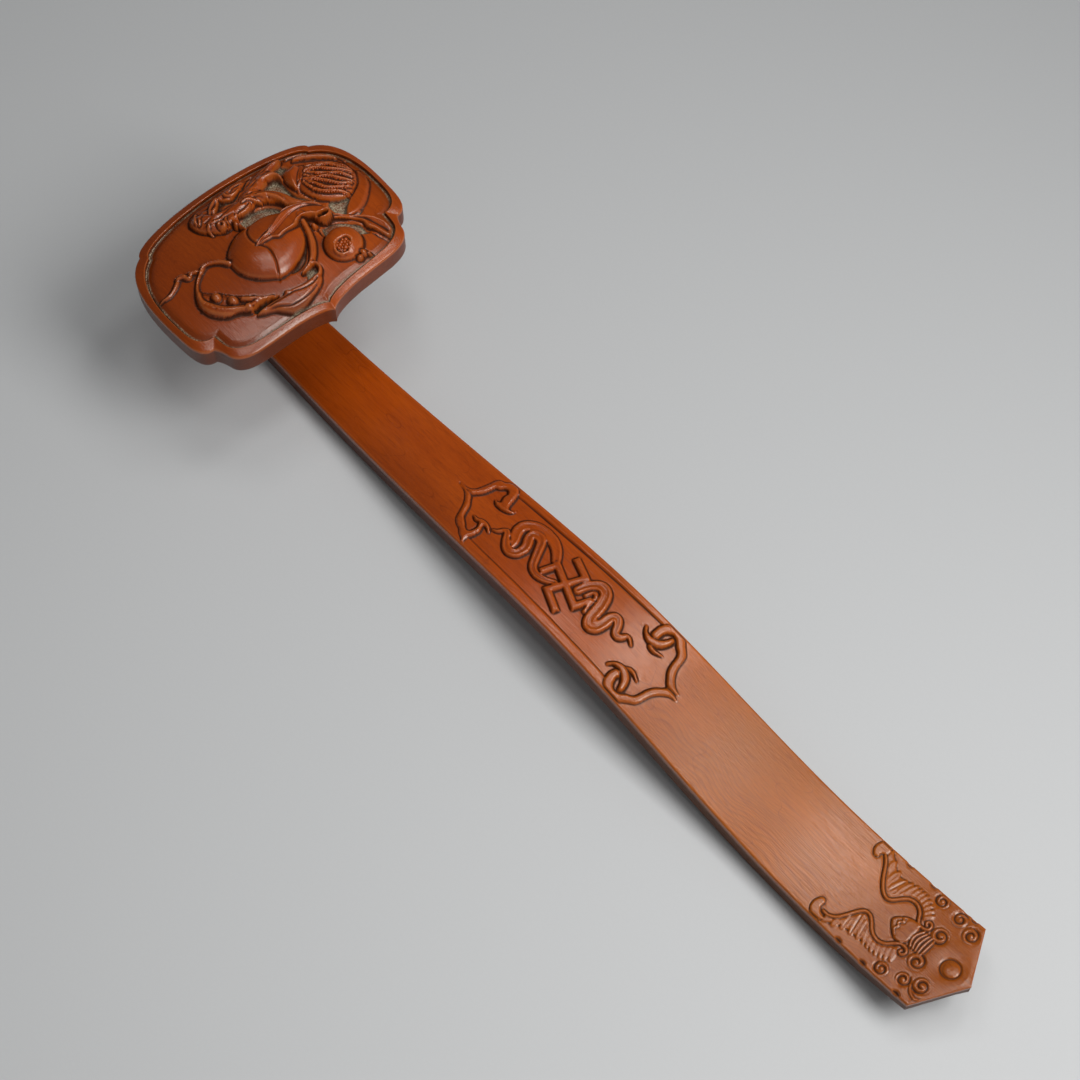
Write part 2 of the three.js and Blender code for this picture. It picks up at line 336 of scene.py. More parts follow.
@dataclass(frozen=True)
class Stroke:
    """A raised line with a tapering width."""

    line: Points
    widths: tuple[float, ...]  # Full width at each place, or one width for all
    rise: float  # Height over what lies under it
    section: Section = Section.ROUND
    over: bool = False  # Whether it lies over earlier forms instead of on the ground
    ditch: float = 0.3  # Depth of the cut along its edges

    def carve(self, relief: Relief) -> None:
        """Raise the line on a relief.

        Args:
            relief: Relief to carve.
        """
        path = smooth_path(self.line)
        index = relief.near(path, max(self.widths))
        gap, place = distance_to(relief.plan[index], path)
        stations = np.linspace(0.0, len(path) - 1.0, len(self.widths))
        half = 0.5 * np.interp(place, stations, self.widths)
        base = 0.0
        if self.over:
            base = np.interp(place, np.arange(len(path)), relief.under(path))
        raised = base + self.rise * self.section.height(gap / half)
        relief.ditch(index, gap - half, self.ditch)
        covers = gap < half
        relief.lay(index[covers], raised[covers])


@dataclass(frozen=True)
class Swell:
    """A form that swells up inside a closed outline."""

    outline: Points
    rise: float  # Height of its middle
    reach: float  # Distance from the edge over which it rounds off
    ditch: float = DITCH_DEPTH  # Depth of the cut along its edge
    straight: bool = False  # Whether the outline has straight sides and sharp corners

    def carve(self, relief: Relief) -> None:
        """Raise the form on a relief.

        Args:
            relief: Relief to carve.
        """
        path = smooth_path(self.outline, closed=True)
        if self.straight:
            path = np.array([*self.outline, self.outline[0]], float)
        index, gap, within = relief.around(path)
        relief.lay_inside(index, gap, within, self.rise * domed(gap / self.reach), self.ditch)


@dataclass(frozen=True)
class Ball:
    """A rounded knob or fruit."""

    centre: Spot
    half: Spot  # Its half sizes along and across
    rise: float
    turn: float = 0.0  # Its turn in degrees
    over: bool = False  # Whether its height is added to earlier forms

    def carve(self, relief: Relief) -> None:
        """Raise the knob on a relief.

        Args:
            relief: Relief to carve.
        """
        angle = math.radians(self.turn)
        offset = relief.plan - np.asarray(self.centre)
        along = offset @ np.array([math.cos(angle), math.sin(angle)]) / self.half[0]
        across = offset @ np.array([-math.sin(angle), math.cos(angle)]) / self.half[1]
        radius = np.hypot(along, across)
        gap = (radius - 1.0) * min(self.half)
        relief.ditch(np.arange(len(radius)), gap, DITCH_DEPTH)
        covers = radius < 1.0
        raised = self.rise * np.sqrt(1.0 - radius[covers] ** 2)
        if self.over:
            raised += relief.height[covers]
        relief.lay(covers, raised)


@dataclass(frozen=True)
class Cut:
    """A groove along a line."""

    line: Points
    width: float  # Full width of the groove
    depth: float  # Its depth in the middle
    dust: float = 0.0  # How much dust lies in it
    closed: bool = False  # Whether the line returns to its first point

    def carve(self, relief: Relief) -> None:
        """Sink the groove into a relief.

        Args:
            relief: Relief to carve.
        """
        path = smooth_path(self.line, self.closed)
        index = relief.near(path, self.width)
        gap, place = distance_to(relief.plan[index], path)
        share = eased(1.0 - 2.0 * gap / self.width)
        if not self.closed:
            from_end = np.minimum(place, len(path) - 1 - place)
            share = share * np.minimum(1.0, 0.3 + 0.2 * from_end)
        relief.sink(index, self.depth * share, self.dust * share)


@dataclass(frozen=True)
class Hollow:
    """A sunken ground inside a closed outline."""

    outline: Points
    depth: float
    edge: float = 0.8  # Width of its sloping edge
    dust: float = 0.9  # How much dust lies in it

    def carve(self, relief: Relief) -> None:
        """Sink the ground into a relief.

        Args:
            relief: Relief to carve.
        """
        index, gap, within = relief.around(smooth_path(self.outline, closed=True))
        share = eased(gap / self.edge) * within
        relief.sink(index, self.depth * share, self.dust * share)


@dataclass(frozen=True)
class Leaf:
    """A leaf with turned-up edges and a sunk midrib."""

    outline: Points
    midrib: Points
    base: float  # Height that it lies at
    rise: float  # Height of its edges over that
    vein: float = 0.5  # Depth of the midrib's groove

    def carve(self, relief: Relief) -> None:
        """Lay the leaf on a relief.

        Args:
            relief: Relief to carve.
        """
        index, gap, within = relief.around(smooth_path(self.outline, closed=True))
        rib_gap, _ = distance_to(relief.plan[index], smooth_path(self.midrib))
        share = rib_gap / (rib_gap + gap + TINY)
        lip = 0.3 * np.exp(-(((gap - 0.65) / 0.4) ** 2))
        groove = self.vein * np.exp(-((rib_gap / 0.5) ** 2))
        blade = self.base + self.rise * (0.45 + 0.55 * share**1.6) + lip - groove
        relief.lay_inside(index, gap, within, blade * domed(gap / 0.6), DITCH_DEPTH)


@dataclass(frozen=True)
class Bark:
    """Rough bark inside a closed outline."""

    outline: Points
    depth: float  # Height of the roughness
    size: Spot  # Size of a lump along each axis
    seed: int  # Number that fixes the roughness

    def carve(self, relief: Relief) -> None:
        """Roughen the relief.

        Args:
            relief: Relief to carve.
        """
        index, gap, within = relief.around(smooth_path(self.outline, closed=True))
        plan = relief.plan[index]
        fine_size = (0.45 * self.size[0], 0.45 * self.size[1])
        fine_seed = 3
        rough = lumps(plan, self.size, self.seed) + 0.5 * lumps(plan, fine_size, fine_seed)
        relief.height[index] += self.depth * rough * eased(gap / 1.2) * within


@dataclass(frozen=True)
class Feather:
    """A leaf-shaped feather that lies over its neighbour like a shingle."""

    root: Spot
    tip: Spot
    width: float
    base: float  # Height of its low edge
    rise: float  # Height of its high edge over that

    def carve(self, relief: Relief) -> None:
        """Lay the feather on a relief.

        Args:
            relief: Relief to carve.
        """
        run = np.array(self.tip) - self.root
        length = float(np.linalg.norm(run))
        along = (relief.plan - self.root) @ run / length**2
        across = (relief.plan - self.root) @ np.array([-run[1], run[0]]) / length
        held = np.clip(along, 0.0, 1.0)
        reach = self.width * held**0.4 * (1.0 - held) ** 0.7
        covers = (along > 0.0) & (along < 1.0) & (np.abs(across) < reach)
        tilt = 0.5 + 0.5 * across[covers] / np.maximum(reach[covers], 0.1)
        raised = self.base + self.rise * (tilt if run[1] > 0.0 else 1.0 - tilt)
        raised -= 0.2 * eased((np.abs(2.0 * tilt - 1.0) - 0.6) / 0.4)
        quill = max(0.0, 0.25 * (self.width - 2.9)) * np.exp(-((across[covers] / 0.25) ** 2))
        relief.height[covers] = raised - quill
        relief.dust[covers] = 0.0


Form = Stroke | Swell | Ball | Cut | Hollow | Leaf | Bark | Feather


def lifted(points: Points, height: float) -> Points:
    """Shift places, as seen from the camera, to a height over the ground."""
    return [(x + LINE_OF_SIGHT[0] * height, y + LINE_OF_SIGHT[1] * height) for x, y in points]


def oval(centre: Spot, half: Spot) -> Points:
    """Lay out an oval."""
    angles = [math.pi * i / 6 for i in range(12)]
    return [(centre[0] + half[0] * math.cos(a), centre[1] + half[1] * math.sin(a)) for a in angles]


def spiral(centre: Spot, radius: float, start: float, turns: float) -> Points:
    """Lay out a spiral that winds inwards.

    Args:
        centre: Its middle.
        radius: Its outer radius.
        start: Direction of its outer end, in degrees.
        turns: Number of turns, below zero for the other way round.

    Returns:
        Places along the spiral.
    """
    count = 14
    places = []
    for i in range(count):
        share = i / (count - 1)
        angle = math.radians(start + 360.0 * turns * share)
        reach = radius * (1.0 - 0.85 * share)
        places.append((centre[0] + reach * math.cos(angle), centre[1] + reach * math.sin(angle)))
    return places


@dataclass
class Skin:
    """A grid of surface points with its dust, its dirt and painted shade, and its wear and painted
    highlights.
    """

    points: Array  # Grid of places, rows by columns by three
    dust: Array  # Pale dust at each place
    grime_and_shade: Array  # Dark dirt and painted shade at each place
    wear_and_highlight: Array  # Rubbed edges with their painted highlight at each place

    @classmethod
    def plain(cls, points: Array) -> "Skin":
        """Make a clean skin of these points."""
        shape = points.shape[:2]
        return cls(points, np.zeros(shape), np.zeros(shape), np.zeros(shape))

    def read_relief(self, heights: Array, dust: Array, wraps: bool, part: tuple[slice, slice]) -> None:
        """Find where dirt settles and shade is painted, and where hands rub and highlights are painted, from
        carved heights.

        Args:
            heights: Carved heights.
            dust: Dust that the carving itself holds.
            wraps: Whether the columns run round and meet.
            part: Rows and columns of the skin that the heights belong to.
        """
        close = softened(heights, 2, wraps) - heights
        broad = softened(heights, 40, wraps) - heights
        in_cuts = np.clip(close / 0.05 - 0.12, 0.0, 1.0)
        in_hollows = np.clip(broad / 1.2 - 0.25, 0.0, 1.0)
        # Painted shade and dirt: darker in narrow cuts and in broad hollows.
        self.grime_and_shade[part] = np.maximum(in_cuts, 0.65 * in_hollows)
        # Wear and painted highlight: lighter on convex edges.
        self.wear_and_highlight[part] = np.clip(-close / 0.12 - 0.15, 0.0, 1.0)
        self.dust[part] = softened(dust, 1, wraps)


def make_mesh(name: str, skins: list[Skin], faces: Corners, finish: Material) -> Piece:
    """Make a mesh object from skins and faces.

    Args:
        name: Name of the piece.
        skins: Grids whose points, in order, are the mesh's points.
        faces: Corners of each face.
        finish: Material of the piece.

    Returns:
        The new object, linked to the scene.
    """
    points = np.vstack([skin.points.reshape(-1, 3) for skin in skins])
    mesh = bpy.data.meshes.new(name)
    mesh.from_pydata((points * MM).tolist(), [], faces)
    for label in ("dust", "grime_and_shade", "wear_and_highlight"):
        values = np.concatenate([getattr(skin, label).ravel() for skin in skins])
        layer = mesh.attributes.new(label, "FLOAT", "POINT")
        layer.data.foreach_set("value", values.astype(np.float32))
    mesh.materials.append(finish)
    mesh.shade_smooth()
    for face in mesh.polygons:
        if face.loop_total > 4:
            face.use_smooth = False
            for corner in face.loop_indices:
                mesh.edges[mesh.loops[corner].edge_index].use_edge_sharp = True
    mesh.update()
    piece = bpy.data.objects.new(name, mesh)
    bpy.context.scene.collection.objects.link(piece)
    return piece


def ring_faces(rows: int, columns: int) -> Corners:
    """List the faces between rings of points.

    Args:
        rows: Number of rings.
        columns: Number of points in a ring.

    Returns:
        Four corners for each face.
    """
    row = np.arange(rows - 1)[:, None] * columns
    here = np.arange(columns)[None, :]
    beside = (here + 1) % columns
    corners = [row + here, row + beside, row + columns + beside, row + columns + here]
    return np.stack(corners, axis=-1).reshape(-1, 4).tolist()


def closed_faces(rows: int, columns: int) -> Corners:
    """List the faces between rings of points, and one face over each end.

    Args:
        rows: Number of rings.
        columns: Number of points in a ring.

    Returns:
        Corners of each face.
    """
    last = (rows - 1) * columns
    ends = [tuple(reversed(range(columns))), tuple(range(last, last + columns))]
    return ring_faces(rows, columns) + ends


def place_piece(piece: Piece, *nodes: str) -> None:
    """Hand a finished piece to the frame.

    Args:
        piece: Finished mesh object.
        nodes: CAD nodes that it stands for.
    """
    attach(piece, BODY)
    if nodes:
        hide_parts(*nodes)
    LOG.info("%s: %d faces", piece.name, len(piece.data.polygons))


class NodeBuilder:
    """Adds and joins nodes in one tree."""

    def __init__(self, tree: bpy.types.NodeTree) -> None:
        """Work on this tree, from empty."""
        self.tree = tree
        self.tree.nodes.clear()

    def add(self, kind: str, inputs: dict | None = None, **settings: object) -> bpy.types.Node:
        """Add a node.

        Args:
            kind: Blender's name of the node type.
            inputs: Values or output sockets for its inputs, by name or number.
            settings: Properties of the node.

        Returns:
            The new node.
        """
        node = self.tree.nodes.new(kind)
        for name, value in settings.items():
            setattr(node, name, value)
        for key, value in (inputs or {}).items():
            if isinstance(value, Socket):
                self.tree.links.new(value, node.inputs[key])
            else:
                node.inputs[key].default_value = value
        return node

    def noise(self, where: Socket, scale: Triple, detail: float) -> Socket:
        """Add noise that is stretched along the axes.

        Args:
            where: Coordinates to read.
            scale: Repeats per metre along each axis.
            detail: Number of finer layers.

        Returns:
            Value from 0 to 1.
        """
        mapping = self.add("ShaderNodeMapping", {"Vector": where, "Scale": scale})
        settings = {"Vector": mapping.outputs[0], "Scale": 1.0, "Detail": detail}
        return self.add("ShaderNodeTexNoise", settings).outputs[0]

    def fit(self, value: Socket, low: float, high: float, start: float, end: float) -> Socket:
        """Map a value from low and high to start and end, and hold it between these."""
        settings = {"Value": value, "From Min": low, "From Max": high, "To Min": start, "To Max": end}
        return self.add("ShaderNodeMapRange", settings, clamp=True).outputs[0]

    def mix(self, share: Socket, a: object, b: object) -> Socket:
        """Mix two colours.

        Args:
            share: Share of the second colour.
            a: First colour, or its socket.
            b: Second colour, or its socket.

        Returns:
            The mixed colour.
        """
        node = self.add("ShaderNodeMix", {0: share}, data_type="RGBA")
        for number, value in ((6, a), (7, b)):
            if isinstance(value, Socket):
                self.tree.links.new(value, node.inputs[number])
            else:
                node.inputs[number].default_value = (*value, 1.0)
        return node.outputs[2]

    def tint(self, colour: Socket, value: Socket, span: Spot, most: float, tint: Colour) -> Socket:
        """Mix in a tint, up to its greatest share, where a value runs through a span."""
        return self.mix(self.fit(value, *span, 0.0, most), colour, tint)

    def maths(self, operation: str, a: object, b: object = 0.0) -> Socket:
        """Combine two values, or sockets, by one of Blender's operations."""
        return self.add("ShaderNodeMath", {0: a, 1: b}, operation=operation).outputs[0]

    def carried(self, name: str) -> Socket:
        """Read a value that the mesh carries at its points."""
        return self.add("ShaderNodeAttribute", attribute_name=name).outputs["Fac"]

    def surface(self, inputs: dict[str, object]) -> None:
        """End a material in one surface with these inputs."""
        shader = self.add("ShaderNodeBsdfPrincipled", inputs)
        self.add("ShaderNodeOutputMaterial", {"Surface": shader.outputs[0]})


def start_material(name: str) -> tuple[Material, NodeBuilder, Socket]:
    """Start a node material.

    Args:
        name: Name of the material.

    Returns:
        The material, the builder of its nodes, and its Object coordinates.
    """
    material = bpy.data.materials.new(name)
    material.use_nodes = True
    nodes = NodeBuilder(material.node_tree)
    return material, nodes, nodes.add("ShaderNodeTexCoord").outputs["Object"]


@dataclass(frozen=True)
class WaxedBoxwood:
    """Old waxed boxwood with dust in its recesses, painted shade in its cuts and on its walls, and painted
    highlights on its edges.
    """

    light: Colour = (0.47, 0.079, 0.004)  # Colour of the pale grain
    dark: Colour = (0.34, 0.05, 0.002)  # Colour of the dark grain
    deep: Colour = (0.13, 0.018, 0.001)  # Colour of streaks and knots
    dust: Colour = (0.42, 0.35, 0.23)
    grime_and_shade: Colour = (0.02, 0.005, 0.0015)  # Colour of dirt and of painted shade in narrow cuts, hollows and walls
    rubbed_and_highlight: Colour = (0.5, 0.14, 0.03)  # Colour of worn edges and of their painted highlight
    handled: Colour = (0.32, 0.15, 0.008)  # Colour of the stretch that hands have worn
    roughness: float = 0.2

    def growth_arcs(self, nodes: NodeBuilder, where: Socket) -> Socket:
        """Draw nested growth arcs along the near edge, between the cartouche and the tail.

        Args:
            nodes: Tree to add to.
            where: Coordinates to read.

        Returns:
            Share of dark wood, from 0 to 0.4.
        """
        along, aside, _ = nodes.add("ShaderNodeSeparateXYZ", {0: where}).outputs
        figure = nodes.maths("MULTIPLY", nodes.noise(where, (30.0, 55.0, 55.0), 1.0), 15.0)
        height = nodes.maths("ADD", nodes.maths("MULTIPLY", aside, 700.0), figure)
        ring = nodes.fit(nodes.maths("FRACT", height), 0.45, 1.0, 0.0, 0.4)
        past_panel = nodes.fit(along, 0.04, 0.065, 0.0, 1.0)
        near_edge = nodes.fit(aside, -0.01, 0.008, 1.0, 0.2)
        return nodes.maths("MULTIPLY", ring, nodes.maths("MULTIPLY", past_panel, near_edge))

    def bands(self, nodes: NodeBuilder, where: Socket) -> Socket:
        """Draw broad, wavy bands of growth.

        Args:
            nodes: Tree to add to.
            where: Coordinates to read.

        Returns:
            Strength of the bands, from 0 to 1.
        """
        swirl = nodes.add("ShaderNodeMapping", {"Vector": where, "Scale": (22.0, 95.0, 60.0)})
        settings = {"Scale": 1.1, "Distortion": 7.0, "Detail": 3.0, "Detail Scale": 0.9}
        settings["Vector"] = swirl.outputs[0]
        wave = nodes.add("ShaderNodeTexWave", settings, wave_type="BANDS", bands_direction="Y")
        return wave.outputs[1]

    def bare_wood(self, nodes: NodeBuilder, where: Socket, streak: Socket) -> Socket:
        """Colour the wood before dirt and wear, with painted shade on the near side of the neck.

        Args:
            nodes: Tree to add to.
            where: Coordinates to read.
            streak: Fine streaks of the grain.

        Returns:
            The wood's colour.
        """
        along, aside, _ = nodes.add("ShaderNodeSeparateXYZ", {0: where}).outputs
        drift = nodes.noise(where, (14.0, 60.0, 60.0), 3.0)
        vein = nodes.noise(where, (60.0, 850.0, 850.0), 2.0)
        fibre = nodes.noise(where, (160.0, 5200.0, 5200.0), 3.0)
        hair = nodes.maths("SUBTRACT", nodes.noise(where, (26.0, 95.0, 95.0), 0.0), 0.5)
        hairline = nodes.fit(nodes.maths("ABSOLUTE", hair), 0.0, 0.004, 0.4, 0.0)
        # Painted shade: the near side of the neck, before the panel, darkens towards the deep colour.
        near_edge = nodes.fit(aside, -0.015, 0.005, 0.5, 0.0)
        before_panel = nodes.fit(along, -0.07, -0.02, 1.0, 0.0)
        held = nodes.maths("MULTIPLY", near_edge, before_panel)
        colour = nodes.mix(nodes.fit(drift, 0.3, 0.7, 0.0, 1.0), self.dark, self.light)
        colour = nodes.tint(colour, along, (-0.01, 0.09), 0.36, self.handled)
        colour = nodes.tint(colour, along, (0.15, 0.19), 0.4, self.deep)
        colour = nodes.tint(colour, along, (-0.135, -0.145), 0.25, self.deep)
        colour = nodes.mix(held, colour, self.deep)
        colour = nodes.tint(colour, streak, (0.5, 0.75), 0.3, self.deep)
        colour = nodes.tint(colour, vein, (0.52, 0.7), 0.25, self.deep)
        colour = nodes.mix(self.growth_arcs(nodes, where), colour, self.deep)
        colour = nodes.tint(colour, self.bands(nodes, where), (0.6, 1.0), 0.09, self.deep)
        colour = nodes.tint(colour, fibre, (0.52, 0.8), 0.35, self.light)
        return nodes.mix(hairline, colour, self.deep)

    def material(self) -> Material:
        """Build the node material.

        Returns:
            The material.
        """
        material, nodes, where = start_material("waxed_boxwood")
        streak = nodes.noise(where, (45.0, 1900.0, 1900.0), 5.0)
        speckle = nodes.noise(where, (1700.0, 1700.0, 1700.0), 2.0)
        patch = nodes.noise(where, (150.0, 150.0, 150.0), 1.0)
        wear_and_highlight, grime_and_shade, dust = [nodes.carried(name) for name in ("wear_and_highlight", "grime_and_shade", "dust")]
        dusty = nodes.fit(dust, 0.1, 0.9, 0.0, 1.0)
        grains = nodes.maths("MULTIPLY", dusty, nodes.fit(speckle, 0.42, 0.6, 0.2, 1.0))
        coated = nodes.maths("MULTIPLY", grains, nodes.fit(patch, 0.35, 0.6, 0.3, 1.0))
        colour = self.bare_wood(nodes, where, streak)
        # Lighter worn edges, which also paint their highlight.
        colour = nodes.tint(colour, wear_and_highlight, (0.1, 1.0), 0.4, self.rubbed_and_highlight)
        # Painted shade and dirt: darker in cuts, hollows and on walls.
        colour = nodes.tint(colour, grime_and_shade, (0.05, 1.0), 0.9, self.grime_and_shade)
        colour = nodes.tint(colour, dust, (0.1, 0.8), 0.6, self.grime_and_shade)
        colour = nodes.mix(coated, colour, self.dust)
        sheen = nodes.maths("ADD", self.roughness - 0.05, nodes.fit(streak, 0.2, 0.8, 0.0, 0.1))
        sheen = nodes.maths("ADD", sheen, nodes.fit(grime_and_shade, 0.3, 1.0, 0.0, 0.35))
        grain = nodes.add("ShaderNodeBump", {"Strength": 0.3, "Distance": 0.0003, "Height": streak})
        pits = nodes.maths("MULTIPLY", speckle, coated)
        settings = {"Strength": 0.5, "Distance": 0.0004, "Height": pits, "Normal": grain.outputs[0]}
        bump = nodes.add("ShaderNodeBump", settings)
        inputs = {
            "Base Color": colour,
            "Roughness": nodes.maths("MAXIMUM", sheen, nodes.fit(coated, 0.0, 1.0, 0.0, 0.85)),
            "Normal": bump.outputs[0],
            "Specular IOR Level": nodes.fit(grime_and_shade, 0.3, 1.0, 0.6, 0.2),
            "Specular Tint": (1.0, 0.97, 0.9, 1.0),
        }
        nodes.surface(inputs)
        return material


@dataclass(frozen=True)
class SawnWood:
    """Bare sawn wood of an inner joint piece."""

    name: str
    light: Colour  # Colour of the pale grain
    dark: Colour  # Colour of the dark grain
    stretch: Triple  # Repeats of the grain per metre along each axis

    def material(self) -> Material:
        """Build the node material.

        Returns:
            The material.
        """
        material, nodes, where = start_material(self.name)
        fibre = nodes.noise(where, self.stretch, 4.0)
        patch = nodes.noise(where, (90.0, 90.0, 90.0), 2.0)
        colour = nodes.mix(nodes.fit(fibre, 0.3, 0.7, 0.0, 1.0), self.dark, self.light)
        colour = nodes.tint(colour, patch, (0.45, 0.75), 0.4, self.dark)
        rough = nodes.fit(fibre, 0.2, 0.8, 0.55, 0.8)
        bump = nodes.add("ShaderNodeBump", {"Strength": 0.35, "Distance": 0.0003, "Height": fibre})
        nodes.surface({"Base Color": colour, "Roughness": rough, "Normal": bump.outputs[0]})
        return material


@dataclass(frozen=True)
class FloorPaint:
    """Matt pale grey paint of the studio floor."""

    colour: Colour = (0.56, 0.565, 0.565)

    def material(self) -> Material:
        """Build the node material.

        Returns:
            The material.
        """
        material, nodes, where = start_material("floor_paint")
        tooth = nodes.noise(where, (700.0, 700.0, 700.0), 2.0)
        paler = tuple(0.03 + 0.97 * part for part in self.colour)
        nodes.surface({"Base Color": nodes.mix(tooth, self.colour, paler), "Roughness": 0.9})
        return material


class GeometryTree:
    """A Geometry Nodes tree with named inputs that ends in a plain mesh."""

    def __init__(self, name: str, sizes: dict[str, float]) -> None:
        """Start a tree.

        Args:
            name: Name of the tree.
            sizes: Named inputs with their values.
        """
        self.group = bpy.data.node_groups.new(name, "GeometryNodeTree")
        self.group.interface.new_socket("Geometry", in_out="INPUT", socket_type="NodeSocketGeometry")
        self.group.interface.new_socket("Geometry", in_out="OUTPUT", socket_type="NodeSocketGeometry")
        for label, value in sizes.items():
            socket = self.group.interface.new_socket(label, in_out="INPUT", socket_type="NodeSocketFloat")
            socket.default_value = value
        self.nodes = NodeBuilder(self.group)
        self.given = self.nodes.add("NodeGroupInput")

    def end(self, geometry: Socket, finish: Material) -> None:
        """Close the tree.

        Args:
            geometry: What the tree has made.
            finish: Material to set on it.
        """
        realized = self.nodes.add("GeometryNodeRealizeInstances", {0: geometry})
        smooth = self.nodes.add("GeometryNodeSetShadeSmooth", {0: realized.outputs[0]})
        dressed = self.nodes.add("GeometryNodeSetMaterial", {0: smooth.outputs[0], "Material": finish})
        self.nodes.add("NodeGroupOutput", {0: dressed.outputs[0]})

    def grow(self, name: str, points: Array, edges: list[tuple[int, int]]) -> Piece:
        """Run the tree on points and edges.

        Args:
            name: Name of the piece.
            points: Places, in millimetres.
            edges: Pairs of points that a line joins.

        Returns:
            A plain mesh object.
        """
        seed_mesh = bpy.data.meshes.new(name + "_seed")
        seed_mesh.from_pydata((points * MM).tolist(), edges, [])
        piece = bpy.data.objects.new(name, seed_mesh)
        bpy.context.scene.collection.objects.link(piece)
        modifier = piece.modifiers.new(name, "NODES")
        modifier.node_group = self.group
        scene_graph = bpy.context.evaluated_depsgraph_get()
        grown = bpy.data.meshes.new_from_object(piece.evaluated_get(scene_graph), depsgraph=scene_graph)
        piece.modifiers.clear()
        piece.data = grown
        grown.name = name
        bpy.data.meshes.remove(seed_mesh)
        return piece


@dataclass
class HeadPlaque:
    """The lobed head: a bevelled rim round a domed field carved with fruit."""

    finish: Material
    centre_x: float = -178.0  # Middle of the plaque along the scepter
    half_length: float = 39.97
    half_width: float = 55.4
    skew: float = 0.042  # Lean of its far edge
    bottom_z: float = 57.3  # Height of its back
    wall_bottom_z: float = 61.3  # Lower edge of its wall
    wall_top_z: float = 69.3  # Upper edge of its wall
    rim_rise: float = 2.2  # Height of the rim's inner edge over the wall
    groove_width: float = 0.7  # Width of the dusty groove inside the rim
    groove_drop: float = 1.0  # Depth of the field's edge below the rim
    field_dip: float = 0.9  # How much the field sinks towards its edge
    dip_width: float = 3.2  # Width of the stretch that sinks
    field_crown: float = 5.5  # Height of the field's middle over the wall
    back_inset: float = 9.0  # Inset of the flat back
    carving_at: Spot = (-179.5, 0.9)  # Zero mark of the carving
    samples: int = 850  # Points round the outline
    rings: int = 110  # Rings over the field

    def outer_half(self) -> Array:
        """Sample half of the wall's outline, from the front point to the back.

        Returns:
            Plan points from the plaque's middle.
        """
        spans = [
            bezier([(1.0, 0.0), (0.92, 0.05), (0.893, 0.3)], 60),
            bezier([(0.893, 0.3), (0.88, 0.58)], 60),
            bezier([(0.88, 0.58), (0.868, 0.8), (0.705, 0.822)], 60),
            bezier([(0.705, 0.822), (0.61, 0.838), (0.558, 0.868)], 60),
            bezier([(0.558, 0.868), (0.552, 0.95), (0.47, 0.98), (0.29, 0.99)], 60),
            bezier([(0.29, 0.99), (-0.05, 1.005), (-0.62, 1.03), (-0.77, 0.779)], 120),
            bezier([(-0.77, 0.779), (-0.894, 0.775), (-1.0, 0.381), (-1.0, 0.0)], 120),
        ]
        return np.vstack(spans) * (self.half_length, self.half_width)

    def inner_half(self) -> Array:
        """Sample half of the rim's inner edge, span by span like the wall.

        Returns:
            Plan points from the plaque's middle.
        """
        spans = [
            bezier([(36.9, 0.0), (34.3, 2.5), (33.1, 14.0)], 60),
            bezier([(33.1, 14.0), (32.1, 29.0)], 60),
            bezier([(32.1, 29.0), (31.4, 42.3), (24.5, 43.9)], 60),
            bezier([(24.5, 43.9), (21.0, 44.5), (18.4, 44.6)], 60),
            bezier([(18.4, 44.6), (18.6, 50.0), (14.5, 52.3), (8.6, 52.6)], 60),
            bezier([(8.6, 52.6), (-2.0, 53.3), (-20.5, 54.0), (-27.6, 40.8)], 120),
            bezier([(-27.6, 40.8), (-32.4, 40.5), (-36.5, 20.0), (-36.5, 0.0)], 120),
        ]
        return np.vstack(spans)

    def rounded(self, half: Array) -> Array:
        """Mirror half an outline, space it like the wall's and lean its far edge.

        Args:
            half: Half outline, from the front point to the back.

        Returns:
            Plan points all the way round.
        """
        wall = self.outer_half()
        wall = np.vstack([wall, wall[::-1] * (1.0, -1.0)])
        run = np.concatenate([[0.0], np.cumsum(np.hypot(*np.diff(wall, axis=0).T))])
        marks = np.arange(self.samples) / self.samples * run[-1]
        full = np.vstack([half, half[::-1] * (1.0, -1.0)])
        x = np.interp(marks, run, full[:, 0])
        y = np.interp(marks, run, full[:, 1])
        lean = self.skew * y * np.maximum(0.0, -x / self.half_length)
        return np.column_stack([self.centre_x + x + lean, y])

    def wall_ring(self, inset: float, z: float) -> Array:
        """Give one level ring of the wall or the back.

        Args:
            inset: Distance inside the wall.
            z: Height of the ring.

        Returns:
            Places round the ring.
        """
        scale = np.array([1.0 - inset / self.half_length, 1.0 - inset / self.half_width])
        plan = self.rounded(self.outer_half() * scale)
        return np.column_stack([plan, np.full(self.samples, z)])

    def rim_ring(self, share: float, z: float) -> Array:
        """Give one level ring of the rim.

        Args:
            share: Share of the way to the rim's inner edge.
            z: Height of the ring.

        Returns:
            Places round the ring.
        """
        outer = self.rounded(self.outer_half())
        inner = self.rounded(self.inner_half())
        return np.column_stack([outer + share * (inner - outer), np.full(self.samples, z)])

    def field_outline(self, inset: float) -> Array:
        """Give the field's outline.

        Args:
            inset: Distance inside the rim's inner edge.

        Returns:
            Plan points all the way round.
        """
        inner = self.rounded(self.inner_half())
        middle = np.array([self.centre_x, 0.0])
        reach = np.linalg.norm(inner - middle, axis=1)[:, None]
        return middle + (inner - middle) * (1.0 - inset / reach)

    def field_z(self, shares: Array) -> Array:
        """Give the height of the plain field.

        Args:
            shares: Share of the way out for each ring.

        Returns:
            Height of each point, ring by ring.
        """
        top = self.wall_top_z + self.field_crown
        edge = self.wall_top_z + self.rim_rise - self.groove_drop
        offset = self.field_outline(self.groove_width) - (self.centre_x, 0.0)
        to_edge = (1.0 - shares)[:, None] * np.linalg.norm(offset, axis=1)[None, :]
        spread = np.sum((offset / (self.half_length, self.half_width)) ** 2, axis=1)
        dome = top + (edge - top) * shares[:, None] ** 2 * spread[None, :]
        return dome - self.field_dip * eased(1.0 - to_edge / self.dip_width)

